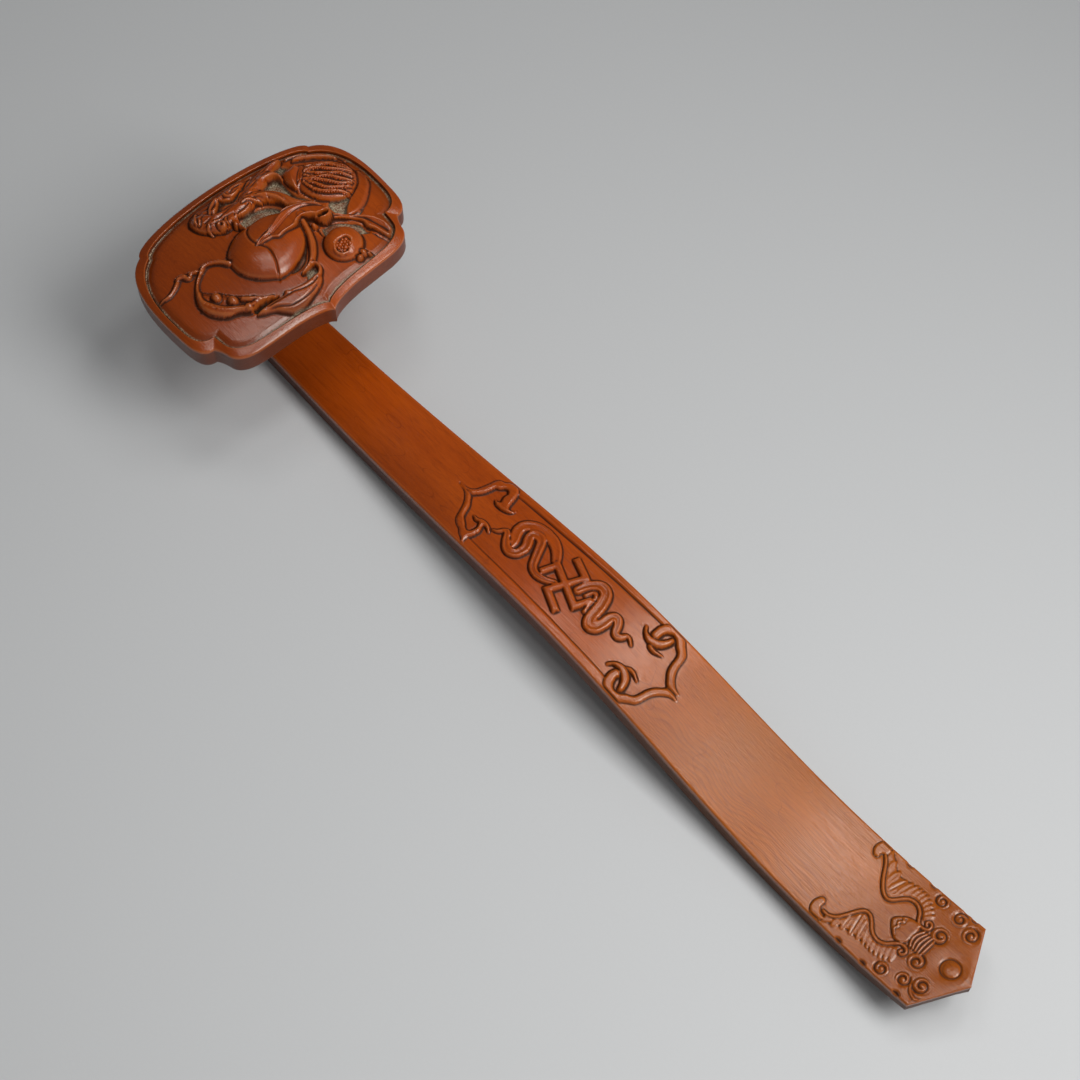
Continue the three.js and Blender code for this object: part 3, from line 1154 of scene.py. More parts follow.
    def build_rim(self) -> Piece:
        """Build the back, wall and rim as one closed tray.

        Returns:
            The new piece.
        """
        rim_top = self.wall_top_z + self.rim_rise
        floor_z = rim_top - self.groove_drop - self.field_dip
        back_depth = self.wall_bottom_z - self.bottom_z
        rings = [self.wall_ring(30.0, self.bottom_z), self.wall_ring(self.back_inset + 4.0, self.bottom_z)]
        for t in np.linspace(0.0, 0.5 * math.pi, 12):
            z = self.wall_bottom_z - back_depth * math.cos(t)
            rings.append(self.wall_ring(self.back_inset * (1.0 - math.sin(t)) + 0.02, z))
        for z in np.linspace(self.wall_bottom_z + 0.3, self.wall_top_z - 0.4, 5):
            rings.append(self.wall_ring(0.0, z))
        bare = len(rings)
        arris = [(0.0, -0.1), (0.01, 0.3), (0.03, 0.62), (0.06, 0.86)]
        band = [(0.2, 1.12), (0.35, 1.36), (0.5, 1.59), (0.7, 1.88), (0.85, 2.07)]
        inner_edge = [(0.92, 2.18), (0.97, 2.18), (1.0, 2.08), (1.01, 1.8)]
        for share, rise in arris + band + inner_edge:
            rings.append(self.rim_ring(share, self.wall_top_z + rise))
        rings.append(self.rim_ring(1.015, floor_z + 0.3))
        for inset in (0.25, 1.6, 25.0):
            plan = self.field_outline(inset)
            rings.append(np.column_stack([plan, np.full(self.samples, floor_z - 0.35)]))
        crest = bare + len(arris) + len(band)
        groove = crest + len(inner_edge)
        skin = Skin.plain(np.stack(rings))
        # Painted highlight and wear on the outer arris and the rim's crest.
        skin.wear_and_highlight[bare : bare + len(arris)] = 0.8
        skin.wear_and_highlight[crest : groove - 1] = 0.6
        # Painted shade in the groove and on the back's edge and the wall.
        skin.grime_and_shade[groove] = 1.0
        skin.grime_and_shade[2:bare] = 0.68
        skin.dust[groove + 1 :] = 0.8
        return make_mesh("head_rim", [skin], closed_faces(len(rings), self.samples), self.finish)

    def forms(self) -> list[Form]:
        """List the carved forms of the field, from the ground up."""
        forms = self.grounds() + self.branch_forms() + self.fruit_forms()
        return forms + self.leaf_forms() + self.stem_forms()

    def grounds(self) -> list[Form]:
        """List the dusty grounds between the forms.

        Returns:
            Forms in the order of carving.
        """
        arch_gap = [
            (-14.5, -5), (-15.5, 2), (-14.5, 6), (-12.5, 9.5), (-9, 11.7), (-5, 12), (-7.5, 8), (-9.5, 2),
            (-11, -6),
        ]
        citron_gap = [
            (-22.3, 18.5), (-20.8, 20.3), (-18, 21.3), (-14, 21), (-9, 21.5), (-5, 23.5), (-3, 24.5),
            (-3.5, 21.8), (-6, 19.5), (-10, 18.3), (-14, 17.2), (-17, 15.5), (-19.5, 13.2), (-21.5, 13.8),
        ]
        crook = [(-26.5, 26.5), (-22.5, 28.2), (-22.3, 24), (-23.5, 21.5), (-25.5, 22), (-27, 24.5)]
        right_gap = [(3, 27.5), (1.5, 31), (3, 36), (6, 37), (9.5, 34), (12, 31), (9, 28)]
        fruit_gap = [
            (9.5, 19), (9.5, 24), (11.5, 27.5), (15, 30.5), (19, 32.7), (24, 33.8), (22, 29), (16, 27),
            (14.6, 22), (14.6, 17.5), (12, 17.3),
        ]
        hook_gap = [(22.6, 0), (22.3, 3.5), (24.5, 4.6), (26.4, 2.5), (25.6, -1.5)]
        stem_gap = [
            (4, 15), (9, 11.5), (14.5, 7.5), (18.5, 3.5), (20, -1), (19, -5), (17, 0), (13, 7), (9, 11),
        ]
        pocket = [(13, 38.5), (14.6, 36), (15, 33), (13.2, 30.5), (12.8, 34)]
        return [
            Hollow(arch_gap, 1.9),
            Hollow(citron_gap, 2.0),
            Hollow(crook, 1.8),
            Hollow(right_gap, 1.6),
            Hollow(fruit_gap, 1.5, dust=0.7),
            Hollow(hook_gap, 1.0),
            Hollow(stem_gap, 1.3, dust=0.3),
            Hollow(pocket, 0.8),
        ]

    def branch_forms(self) -> list[Form]:
        """List the gnarled trunk and the branch that arches from it.

        Returns:
            Forms in the order of carving.
        """
        trunk = [
            (-28.5, 28), (-26.3, 26), (-25.5, 22.5), (-24, 20), (-22.3, 16.5), (-20, 12), (-17.5, 9),
            (-16, 5), (-15.3, 1), (-15.5, -4), (-14, -8), (-14, -12), (-16, -15), (-19, -18), (-22.5, -20),
            (-27, -20.6), (-30, -18.5), (-31.5, -14), (-31.3, -8), (-32, -2), (-32, 4), (-30.5, 10),
            (-29.8, 16), (-30.6, 23),
        ]
        slot = [
            (-27, 6), (-25.3, 4.5), (-23.9, 2), (-23.4, -1), (-23.8, -5), (-22.8, -8.5), (-24, -10),
            (-26, -7.5), (-29, -4.5), (-30, -4), (-27.5, -2.5), (-26, 0), (-26.3, 3),
        ]
        slot_end = [(-25.4, 4.4), (-27.4, 7.6), (-29.4, 11), (-30.6, 15)]
        bole = [
            *trunk[:16], (-29, -18), (-28, -13), (-24.4, -10), (-23.2, -6), (-23.2, -1), (-23.6, 3),
            (-25.6, 7), (-27.6, 11.5), (-29, 16), (-29.8, 23),
        ]
        arch = [(-20.5, 4), (-18.3, 8.3), (-15, 12.5), (-11, 15.2), (-6.5, 16.8), (-3, 19), (0, 22)]
        fork = [(-25, 15.5), (-24, 19), (-22, 21), (-19, 21.6)]
        forms = [
            Swell(trunk, 2.3, 5.0),
            Swell(bole, 3.9, 3.2),
            Stroke(arch, (6.0, 6.4, 6.2, 5.6, 5.0, 4.6, 3.6), 4.3),
            Stroke(fork, (4.6, 3.6, 2.4, 0.8), 4.3),
            Bark(trunk, 0.55, (2.0, 4.6), 11),
            Hollow(slot, 3.0, 0.9, 0.3),
            Cut(slot_end, 2.4, 1.9, 0.2),
        ]
        arch_ridge = [(-18.4, 8.3), (-16, 11), (-12.8, 13.2), (-9.5, 14.2), (-5.5, 14.8)]
        slot_lip = [(-30.5, -0.7), (-28.5, -0.6), (-27, 0.8), (-26.9, 3.2), (-27.4, 5.2)]
        ridges = [
            ([(-16.9, 3.4), (-16.2, 1), (-16.2, -1.5), (-16, -3.2)], (0.8, 1.8, 1.8, 0.8), 1.0),
            ([(-19.4, 1), (-19.2, 4), (-17.2, 6), (-14.8, 7.6)], (0.6, 1.5, 1.4, 0.6), 0.9),
            ([(-18.8, 7.2), (-16.8, 9.4), (-14.2, 10.4)], (0.6, 1.5, 0.6), 0.8),
            (arch_ridge, (0.8, 1.9, 2.0, 1.6, 0.6), 0.7),
            (slot_lip, (0.8, 1.4, 1.5, 1.2, 0.7), 0.9),
            ([(-29.4, 2), (-30.2, 4), (-30.3, 6.4), (-29.6, 8.6)], (0.6, 1.1, 1.1, 0.6), 0.7),
            ([(-30.6, -4), (-29.5, -6.5), (-27.5, -9.5), (-25, -11.5)], (0.8, 1.5, 1.5, 0.8), 0.7),
            ([(-16.8, -4), (-15.2, -5), (-13.5, -4.6)], (0.8, 1.6, 0.8), 0.9),
            ([(-20.4, -15.2), (-18.6, -16.7), (-16.4, -16.6)], (0.8, 1.5, 0.7), 0.9),
            ([(-27, -17.2), (-25.4, -18.5), (-23.8, -18.8)], (0.8, 1.4, 0.7), 0.9),
            ([(-24.6, -16.8), (-23, -18.2)], (1.2, 0.8), 0.9),
            ([(-29.6, -15.5), (-28.4, -17.8)], (1.3, 0.7), 0.8),
            ([(-18.2, -8), (-17.2, -9.2), (-15.2, -9.3)], (0.8, 1.4, 0.8), 0.8),
        ]
        forms += [Stroke(line, widths, rise, over=True, ditch=0.35) for line, widths, rise in ridges]
        cracks = [
            [(-20.6, 9), (-21.6, 3), (-21.2, -3), (-20.2, -9), (-20.6, -14)],
            [(-18.6, -5), (-18.6, -10), (-19.6, -14)],
            [(-27, -10), (-26, -13.5), (-24.6, -16.5)],
            [(-29.2, -9), (-28.6, -14), (-28, -18)],
            [(-31, 13), (-29.2, 8.4), (-27.4, 6.2)],
            [(-26, 11.5), (-27.2, 17), (-28.2, 23)],
            [(-23.4, 8), (-25, 14)],
            [(-22.5, -11.5), (-22, -15.5), (-21, -18)],
            [(-31, 3), (-30.6, -2), (-31, -6)],
        ]
        forms += [Cut(line, 0.9, 0.55) for line in cracks]
        forms += [
            Ball((-16.4, -11.7), (2.3, 2.0), 1.3, over=True),
            Hollow(oval((-16.5, -11.8), (0.9, 0.8)), 1.4, 0.5, 0.0),
            Ball((-13.2, -7), (1.9, 1.3), 3.9, -15),
            Stroke([(-15, -7.2), (-11, -6.2), (-8, -5.6)], (2.2, 1.8, 0.8), 3.2),
        ]
        return forms

    def fruit_forms(self) -> list[Form]:
        """List the peach, the pomegranate and the citron.

        Returns:
            Forms in the order of carving.
        """
        peach = [
            (-10, -3), (-10, -9), (-8, -14), (-4, -19), (2, -20.8), (8, -19.5), (13, -16), (16.5, -11.5),
            (18.2, -9), (18.3, -5), (17, 0), (14, 6), (10, 10.5), (4, 13), (-2, 13), (-6, 11), (-9.5, 4),
        ]
        suture = [(-10, -3), (-8, -5.3), (-4, -6.6), (0, -6.1), (4, -4.2), (8, -4.5), (12, -6), (17, -9)]
        citron = [
            (-21, 31), (-19.5, 34), (-16.5, 39), (-12, 44), (-7.5, 47), (-3, 47.3), (1, 45), (4, 40.5),
            (4.6, 36), (3, 31.5), (-0.5, 27), (-6, 24.3), (-10.5, 23.6), (-16, 24),
        ]
        bulb = [
            (-22.4, 30.4), (-22, 27), (-21.6, 24), (-19.5, 22.3), (-15, 21.7), (-10.8, 23), (-13, 25.6),
            (-16, 28.4), (-19, 31.2),
        ]
        window = [
            (19.7, 23.6), (19.1, 20.6), (20, 17.8), (22.4, 16.2), (24.9, 17.4), (25.5, 20), (24, 22.4),
            (22, 24.3),
        ]
        lip = [(-14, 27), (-12.4, 24.9), (-10, 23.8), (-6, 24.5), (-2.5, 26)]
        forms = [
            Swell(peach, 4.6, 13.0),
            Cut(lifted(suture, 4.0), 1.5, 0.9),
            Swell(citron, 3.2, 6.0),
            Swell(bulb, 4.4, 4.5),
            Stroke(lifted(lip, 2.5), (0.6, 1.2, 1.4, 1.2, 0.6), 0.6, over=True),
            Swell(oval((21.8, 20.3), (7.8, 8.3)), 4.7, 6.0),
            Hollow(lifted(window, 4.0), 1.4, 0.7, 0.2),
            Stroke(lifted(window[2:6], 4.4), (0.5, 1.1, 1.1, 0.5), 0.5, over=True, ditch=0.0),
            Ball((30.0, 24), (1.8, 1.6), 2.6),
            Ball((30.8, 21.4), (1.3, 1.6), 2.2),
            Ball((31.6, 25.6), (1.2, 0.8), 2.0, 30),
            Cut(spiral((30.0, 24), 1.2, 30, 0.8), 0.6, 0.5),
        ]
        for number, line in enumerate(self.finger_lines()):
            widths = (0.8, 1.5, 1.9, 1.7, 0.9)
            forms.append(Stroke(line, widths, 0.9 + 0.25 * (number % 3), over=True, ditch=0.6))
        return forms

    def finger_lines(self) -> list[Points]:
        """Lay out the citron's fingers as a fan of wavy lines.

        Returns:
            Places along each finger.
        """
        middle = [(-14.2, 29.2), (-10.4, 32.4), (-6.8, 35.8), (-3, 39.4), (0.6, 43)]
        spreads = (0.55, 0.85, 1.0, 0.95, 0.8)
        pitch = 2.45
        lines = []
        for number in range(-4, 4):
            line = []
            for step, (u, v) in enumerate(middle):
                aside = spreads[step] * (pitch * number) + 0.6 * math.sin(2.1 * step + 1.7 * number)
                end_drop = 0.25 * abs(number) * (step == 4)
                line.append((u + 0.74 * aside - end_drop, v - 0.67 * aside - end_drop))
            lines.append(line)
        return lines

    def leaf_forms(self) -> list[Form]:
        """List the leaves, the folded leaf and the open pod.

        Returns:
            Forms in the order of carving.
        """
        peach_leaf = [
            (0, -6.8), (-1.6, -3), (-2.2, 0), (-3, 3.5), (-4.4, 7), (-5.8, 10), (-6.4, 13), (-5.6, 17),
            (-4, 20.5), (-1.5, 24), (1, 26), (4, 27), (6.4, 27.2), (8.2, 25.6), (8.4, 22.6), (7, 20.4),
            (4, 20), (2.6, 18.4), (1.7, 16), (2, 13.8), (3.3, 11.8), (3.5, 9), (3.3, 6), (3.7, 2.5), (2, 0),
            (1.5, -4),
        ]
        rib = [
            (0.3, -5.5), (-0.2, -2), (-0.2, 2), (-1.4, 7), (-2.8, 12), (-3, 16), (-2, 20), (0.4, 23.6),
            (2.2, 25.6),
        ]
        curl = [(4.3, 21), (4.6, 24.6), (5.8, 25.8), (7.2, 24.6), (7.3, 21.8), (5.8, 20.8)]
        fold = [(-0.8, -5), (-1.8, 0), (-3.4, 5), (-5, 9.5), (-5.4, 13), (-4.6, 17), (-2.8, 20.5), (0, 23.5)]
        broad = [
            (-4, 48.5), (0, 49.8), (4, 48.3), (8, 44.5), (11, 40.5), (12.8, 36.5), (13, 33), (12.2, 30),
            (9, 32.5), (6.5, 36), (5, 39.5), (2, 44.5),
        ]
        wavy = [
            (9.3, 20), (9.2, 23), (10.5, 26.5), (13.5, 29.8), (16.5, 32.4), (19, 33.3), (21.5, 33.2),
            (24, 34.7), (27, 35.6), (30.2, 37.2), (30, 40.5), (27, 41.2), (22, 39.8), (18.5, 37.6),
            (16.5, 35.7), (14.5, 33.2), (12, 30.6), (9, 27.6), (7.6, 24), (7.6, 20.6),
        ]
        wavy_rib = [(8.5, 21.5), (8.8, 24.6), (11, 28.4), (15, 32.2), (18, 35), (21.5, 36.6), (27.5, 38.6)]
        folded = [
            (25.6, 2.5), (27, 4), (29.8, 2.4), (32, -2), (33.5, -7), (34, -10.5), (33.4, -15), (31, -18.2),
            (28, -20.8), (26.4, -24.4), (24.6, -27), (24, -23.5), (24.4, -18.5), (24.8, -14), (24.4, -11),
            (25.3, -7.5), (26, -3),
        ]
        folds = [
            [(27.4, 2.6), (28.7, -1), (28.2, -6), (26.8, -10), (26.3, -13.5), (25.8, -18), (25.4, -23.5)],
            [(30, 0.5), (31.4, -4.5), (31.6, -10), (30.8, -14.6), (28, -18.6), (26, -23)],
        ]
        forms = [
            Swell(broad, 1.1, 0.9),
            Stroke(lifted(broad[1:8], 1.0), (0.4, 0.9, 1.0, 0.9, 0.4), 0.45, over=True, ditch=0.25),
            Stroke([(-5, 51.2), (-2, 50.4), (3.5, 49.9)], (0.6, 1.4, 0.4), 1.0),
            Leaf(wavy, wavy_rib, 0.4, 2.0, 0.7),
            Stroke(lifted(wavy[:10], 2.0), (0.9, 1.3, 1.3, 1.2, 1.1, 0.6), 0.5, over=True, ditch=0.3),
            Stroke([(-28, 30), (-27.4, 33.5), (-26, 38), (-24, 41.5)], (0.8, 1.5, 1.5, 0.8), 1.5),
            Stroke([(-25, 32), (-23.4, 36.5), (-19.6, 42), (-14.5, 46)], (1.2, 3.2, 3.6, 1.4), 2.3),
            Stroke([(-25, 40), (-22, 45.4), (-17.5, 47.6), (-11, 48.6)], (0.8, 1.8, 2.0, 0.8), 1.6),
            Swell(folded, 2.9, 2.4),
            *[Cut(line, 1.1, 0.9) for line in folds],
            Ball((25.2, -11.8), (1.5, 1.6), 2.8),
        ]
        forms += self.pod_forms()
        forms += [
            Leaf(lifted(peach_leaf, 4.6), lifted(rib, 5.0), 4.6, 1.1, 0.7),
            Cut(lifted(fold, 4.6), 0.8, 0.6),
            Hollow(lifted(curl, 4.6), 4.6, 0.7, 0.35),
        ]
        return forms

    def pod_forms(self) -> list[Form]:
        """List the open pod with its seeds.

        Returns:
            Forms in the order of carving.
        """
        upper = [
            (1, -37.3), (2.5, -36.3), (5, -34.3), (6.5, -32.5), (9, -30.8), (12, -28.5), (14, -26.3),
            (16, -24.2), (17.5, -22.2), (20, -20), (22.3, -16),
        ]
        lower = [
            (22.4, -20), (21.6, -23.5), (22.6, -27.6), (20.4, -30.5), (19, -33), (18, -36), (15.5, -38.8),
            (12, -41), (8, -42), (4, -41.2), (0, -38.8), (-4, -35.2), (-6.3, -31.8), (-4.6, -32),
            (-2, -35.6),
        ]
        inner_lip = [
            (1, -38.6), (5.4, -39.1), (10.2, -37.2), (13.8, -34.8), (16.6, -31.6), (18.8, -28.2), (20, -24),
        ]
        mouth = [(1.6, -37.4), *upper[2:10], *reversed(inner_lip[1:])]
        slit = [
            (23.5, -14.5), (22.3, -18), (21.5, -22.5), (22.2, -27), (24.3, -25), (23.9, -21.5),
            (24.2, -17.5),
        ]
        return [
            Swell(upper + lower, 3.0, 2.2),
            Hollow(mouth, 1.9, 0.6, 0.0),
            Ball((8, -34.4), (2.5, 2.2), 3.4),
            Ball((13.6, -30.4), (2.6, 2.2), 3.5),
            Stroke([(15.8, -27), (18, -24.6), (20, -21.6)], (2.4, 3.0, 1.6), 3.0),
            Ball((20.5, -27.5), (1.7, 1.5), 0.8, over=True),
            Stroke(lifted(inner_lip, 2.6), (0.5, 0.9, 1.0, 0.9, 0.5), 0.35, over=True, ditch=0.2),
            Hollow(slit, 3.4, 0.6, 0.4),
        ]

    def stem_forms(self) -> list[Form]:
        """List the stems and twigs.

        Returns:
            Forms in the order of carving.
        """
        stem = [(2, 14.6), (5, 13.8), (10, 12.2), (15, 9.6), (19.6, 5.8), (21.8, 2), (22.5, -1.5)]
        stem_ridge = [(9, 14), (13, 12.4), (17, 9.6), (20.6, 6)]
        hook = [(21.3, 3), (22, 5.2), (24.4, 5.6), (26.8, 3.6), (27.4, 0.5)]
        pod_stem = [(-1, -20.5), (-4.5, -23), (-6.5, -26), (-7, -29), (-5.7, -31.6)]
        twig = [(-7, -51.5), (-6.5, -47.5), (-7.2, -44.5), (-8.5, -42), (-10.2, -39.8)]
        twig_knot = [(-10.2, -40), (-9.6, -37.6), (-7.4, -36.4), (-8.4, -34.6), (-7.2, -32)]
        return [
            Stroke(stem, (3.0, 3.0, 3.0, 2.8, 2.6, 2.0, 0.8), 3.2),
            Stroke(lifted(stem_ridge, 2.6), (0.5, 0.9, 0.9, 0.5), 0.4, over=True, ditch=0.2),
            Ball((8.2, 16.4), (1.7, 1.3), 3.0, 20),
            Cut([(7, 17.4), (10, 16.6), (14, 16.4)], 1.2, 1.2),
            Stroke(hook, (1.8, 1.8, 1.8, 1.8, 1.4), 2.8),
            Stroke(pod_stem, (2.4, 2.4, 2.2, 2.2, 2.0), 2.2),
            Cut(lifted(pod_stem, 2.0), 0.6, 0.6),
            Stroke(twig, (0.8, 1.7, 1.7, 2.0, 1.6), 1.3),
            Stroke(twig_knot, (1.8, 2.6, 2.2, 2.4, 1.4), 1.8),
            Hollow(oval((-8.2, -36), (0.9, 0.7)), 1.2, 0.5, 0.0),
        ]

    def carved(self) -> tuple[Array, Relief]:
        """Carve the field.

        Returns:
            Share of the way out for each ring, and the carved relief.
        """
        shares = np.linspace(1.0, 0.0, self.rings + 1)[:-1]
        edge = self.field_outline(self.groove_width)
        middle = np.array([self.centre_x, 0.0])
        plan = middle + shares[:, None, None] * (edge - middle)[None, :, :]
        relief = Relief(plan - self.carving_at)
        for form in self.forms():
            form.carve(relief)
        return shares, relief

    def build_field(self) -> Piece:
        """Build the domed, carved field as a closed panel.

        Returns:
            The new piece.
        """
        shares, relief = self.carved()
        grid_shape = (self.rings, self.samples)
        heights = relief.height.reshape(grid_shape)
        fade_share, edge_depth, box_margin = 0.02, 1.2, 0.05
        dusty_width, rim_shade_width = 1.3, 7.0
        edge_fade = eased((1.0 - shares) / fade_share)[:, None]
        heights = softened(heights * edge_fade, 1, True)
        plan = relief.plan.reshape(*grid_shape, 2) + self.carving_at
        ceiling = CAD_BOX[1].z / MM - box_margin
        z = np.minimum(self.field_z(shares) + heights, ceiling)
        grid = np.dstack([plan, z])
        foot = grid[:1].copy()
        foot[..., 2] -= edge_depth
        skin = Skin.plain(np.vstack([foot, grid]))
        dust = relief.dust.reshape(grid_shape)
        skin.read_relief(np.vstack([heights[:1], heights]), np.vstack([dust[:1], dust]), True, np.s_[:, :])
        reach = np.linalg.norm(plan[0] - (self.centre_x, 0.0), axis=1)
        to_rim = (1.0 - shares)[:, None] * reach[None, :]
        skin.dust[1:] = np.maximum(skin.dust[1:], 0.75 * eased(1.0 - to_rim / dusty_width))
        # Painted shade and dirt: the field darkens towards the rim.
        skin.grime_and_shade[1:] = np.maximum(skin.grime_and_shade[1:], 0.4 * eased(1.0 - to_rim / rim_shade_width))
        tip = Skin.plain(np.array([[[self.centre_x, 0.0, float(np.mean(grid[-1, :, 2]))]]]))
        rows = self.rings + 1
        faces = ring_faces(rows, self.samples)
        faces.append(tuple(reversed(range(self.samples))))
        first = (rows - 1) * self.samples
        apex = rows * self.samples
        faces += [(first + i, first + (i + 1) % self.samples, apex) for i in range(self.samples)]
        return make_mesh("head_carving", [skin, tip], faces, self.finish)


@dataclass
class Shaft:
    """The arched shaft with its curled neck, carved cartouche and carved tail."""

    finish: Material
    neck_x: float = -168.5  # Start of the neck's bend
    crown_x: float = 14.0  # Top of the arch
    foot_x: float = 140.0  # Low point before the tail
    shoulder_x: float = 206.5  # Where the tail begins to narrow to its point
    tip_x: float = 218.0
    neck_width: float = 29.0
    tail_width: float = 42.8
    width_ease: float = 1.65  # How quickly the width grows from the neck
    neck_thickness: float = 11.0
    crown_thickness: float = 13.0
    foot_thickness: float = 12.0  # Thickness at the tail's foot
    end_thickness: float = 6.0  # Thickness at the tail's point
    crown_top: float = 26.4  # Height of the arch's top
    tip_top: float = 22.3  # Height of the tail's point
    foot_length: float = 18.0  # Length of each flat foot
    bend_inside: float = 20.5  # Inner radius of the neck's bend
    seat_z: float = 57.0  # Height of the neck's seat
    seat_reach: float = 8.0  # How far the seat runs on past the bend
    camber: float = 0.5  # Rise of the top face towards its middle line
    top_round: float = 0.8  # Radius of the upper edges
    lower_round: float = 2.2  # Radius of the lower edges
    split_x: float = 149.0  # Where the body and the tail piece meet
    carving_x: float = -0.5  # Zero mark of the carving along the scepter
    seat_round: float = 0.6  # Radius of the edges near the seat
    seat_stretch: float = 8.0  # Height of the stretch that has these edges
    panel_zone: Spot = (-69.0, 65.0)  # Carved stretch of the body
    body_steps: Spot = (0.34, 2.4)  # Steps along the body, carved and plain
    tail_margin: float = 4.0  # Plain stretch at the tail's start
    tail_steps: Spot = (0.24, 0.8)  # Steps along the tail, carved and plain
    across: int = 150  # Points across the top face
    edge_steps: int = 4  # Points over each upper edge

    def arch(self, start: Spot, crown: Spot, end: Spot) -> list[Array]:
        """Sample the climb to the arch's top and the drop behind it.

        Args:
            start: Where the climb begins, in the side view.
            crown: Top of the arch.
            end: Where the drop ends.

        Returns:
            Points of the climb and of the drop.
        """
        rise = crown[0] - start[0]
        fall = end[0] - crown[0]
        climb = [start, (start[0] + 0.46 * rise, start[1]), (crown[0] - 0.26 * rise, crown[1]), crown]
        drop = [crown, (crown[0] + fall / 3, crown[1]), (end[0] - fall / 3, end[1]), end]
        return [bezier(climb, 200), bezier(drop, 150)]

    def top_line(self) -> Array:
        """Sample the top line from the neck to the tail's point.

        Returns:
            Points in the side view.
        """
        crown = (self.crown_x, self.crown_top)
        foot = (self.foot_x, self.foot_thickness)
        sweep = [foot, ((self.foot_x + self.tip_x) / 2, foot[1]), (self.tip_x, self.tip_top)]
        return np.vstack([*self.arch((self.neck_x, self.neck_thickness), crown, foot), bezier(sweep, 90)])

    def under_line(self) -> Array:
        """Sample the underside from the neck's foot to the tail's point.

        Returns:
            Points in the side view.
        """
        neck_end = (self.neck_x + self.foot_length, 0.0)
        foot_start = (self.foot_x - self.foot_length / 2, 0.0)
        foot_end = self.foot_x + self.foot_length / 2
        crown = (self.crown_x, self.crown_top - self.crown_thickness)
        tip = (self.tip_x, self.tip_top - self.end_thickness)
        sweep = [(foot_end, 0.0), ((foot_end + self.tip_x) / 2, 0.0), tip]
        start = np.array([[self.neck_x, 0.0]])
        return np.vstack([start, *self.arch(neck_end, crown, foot_start), bezier(sweep, 90)])

    def half_width(self, x: Array) -> Array:
        """Give half the width along the shaft.

        Args:
            x: Stations along the shaft.

        Returns:
            Half the width at each.
        """
        share = np.clip((x - self.neck_x) / (self.shoulder_x - self.neck_x), 0.0, 1.0)
        growth = (self.tail_width - self.neck_width) * (1 - (1 - share) ** self.width_ease)
        plain = (self.neck_width + growth) / 2
        point = np.clip((self.tip_x - x) / (self.tip_x - self.shoulder_x), 0.012, 1.0)
        return plain * point

    def stations(self, start: float, end: float, zone: Spot, steps: Spot) -> Array:
        """Choose the stations along the shaft.

        Args:
            start: First station.
            end: Last station.
            zone: Start and end of the carved stretch.
            steps: Step inside that stretch, and elsewhere.

        Returns:
            Stations in rising order.
        """
        marks = [start]
        while marks[-1] < end - TINY:
            x = marks[-1]
            step = steps[0] if zone[0] <= x < zone[1] else steps[1]
            marks.append(min(x + step, end))
        return np.array(marks)

    def neck_rows(self) -> list[tuple[Array, Array]]:
        """Lay out the neck's bend, from its seat down to the shaft.

        Returns:
            Pairs of inner and outer points in the side view.
        """
        centre = np.array([self.neck_x, self.neck_thickness + self.bend_inside])
        outside = self.bend_inside + self.neck_thickness
        seat_angle = math.pi - math.asin((self.seat_z - centre[1]) / outside)
        seat_start = centre + outside * np.array([math.cos(seat_angle), math.sin(seat_angle)])
        tip = np.array([self.neck_x + self.seat_reach, self.seat_z])
        inner_top = centre + np.array([0.0, self.bend_inside])
        turn = bezier([tuple(tip - (0.0, 0.5)), (tip[0], inner_top[1]), tuple(inner_top)], 3)
        lip = bezier([tuple(spot) for spot in turn], 101)
        lip_share = 0.3
        rows = []
        for t in np.linspace(0.0, 1.0, 14)[:-1]:
            outer = tip + (seat_start - tip) * t
            if t < lip_share:
                inner = lip[int(round(t / lip_share * 100))]
            else:
                share = (t - lip_share) / (1.0 - lip_share)
                angle = 0.5 * math.pi + (seat_angle - 0.5 * math.pi) * share
                inner = centre + self.bend_inside * np.array([math.cos(angle), math.sin(angle)])
            rows.append((inner, outer))
        for angle in np.linspace(seat_angle, 1.5 * math.pi, 44)[:-1]:
            ray = np.array([math.cos(angle), math.sin(angle)])
            rows.append((centre + self.bend_inside * ray, centre + outside * ray))
        return rows

    def section(self, top: Array, under: Array, half: float, lower: float) -> Array:
        """Lay out one cross-section.

        Args:
            top: Point of the top line in the side view.
            under: Point of the underside.
            half: Half the width.
            lower: Radius of the lower edges.

        Returns:
            Places round the section, starting with the top face.
        """
        tall = float(np.linalg.norm(top - under))
        lift = (top - under) / max(tall, TINY)
        upper_r = min(self.top_round, 0.4 * tall, 0.45 * half)
        lower_r = min(lower, 0.45 * tall, 0.45 * half)
        flat = half - upper_r
        side = np.linspace(-flat, flat, self.across)
        places = [(s, tall + self.camber * (1.0 - (s / half) ** 2) * min(1.0, half / 6.0)) for s in side]
        turn = np.linspace(0.0, 0.5 * math.pi, self.edge_steps + 1)[1:]
        right = [(flat + upper_r * math.sin(a), tall - upper_r * (1.0 - math.cos(a))) for a in turn]
        right += [(half, lower_r + (tall - upper_r - lower_r) * t) for t in (0.66, 0.33)]
        low_turn = np.linspace(0.0, 0.5 * math.pi, 6)
        right += [(half - lower_r * (1.0 - math.cos(a)), lower_r * (1.0 - math.sin(a))) for a in low_turn]
        base = np.linspace(half - lower_r, -(half - lower_r), 12)[1:-1]
        ring = places + right + [(s, 0.0) for s in base] + [(-s, k) for s, k in reversed(right)]
        flat_ring = np.array(ring)
        body = under[None, :] + flat_ring[:, 1:2] * lift[None, :]
        return np.column_stack([body[:, 0], flat_ring[:, 0], body[:, 1]])

    def rows_along(self, marks: Array) -> list[Array]:
        """Lay out cross-sections.

        Args:
            marks: Stations along the shaft.

        Returns:
            Places round each section.
        """
        top = np.interp(marks, *self.top_line().T)
        low = np.interp(marks, *self.under_line().T)
        half = self.half_width(marks)
        return [
            self.section(np.array([x, t]), np.array([x, u]), h, self.lower_round)
            for x, t, u, h in zip(marks, top, low, half)
        ]

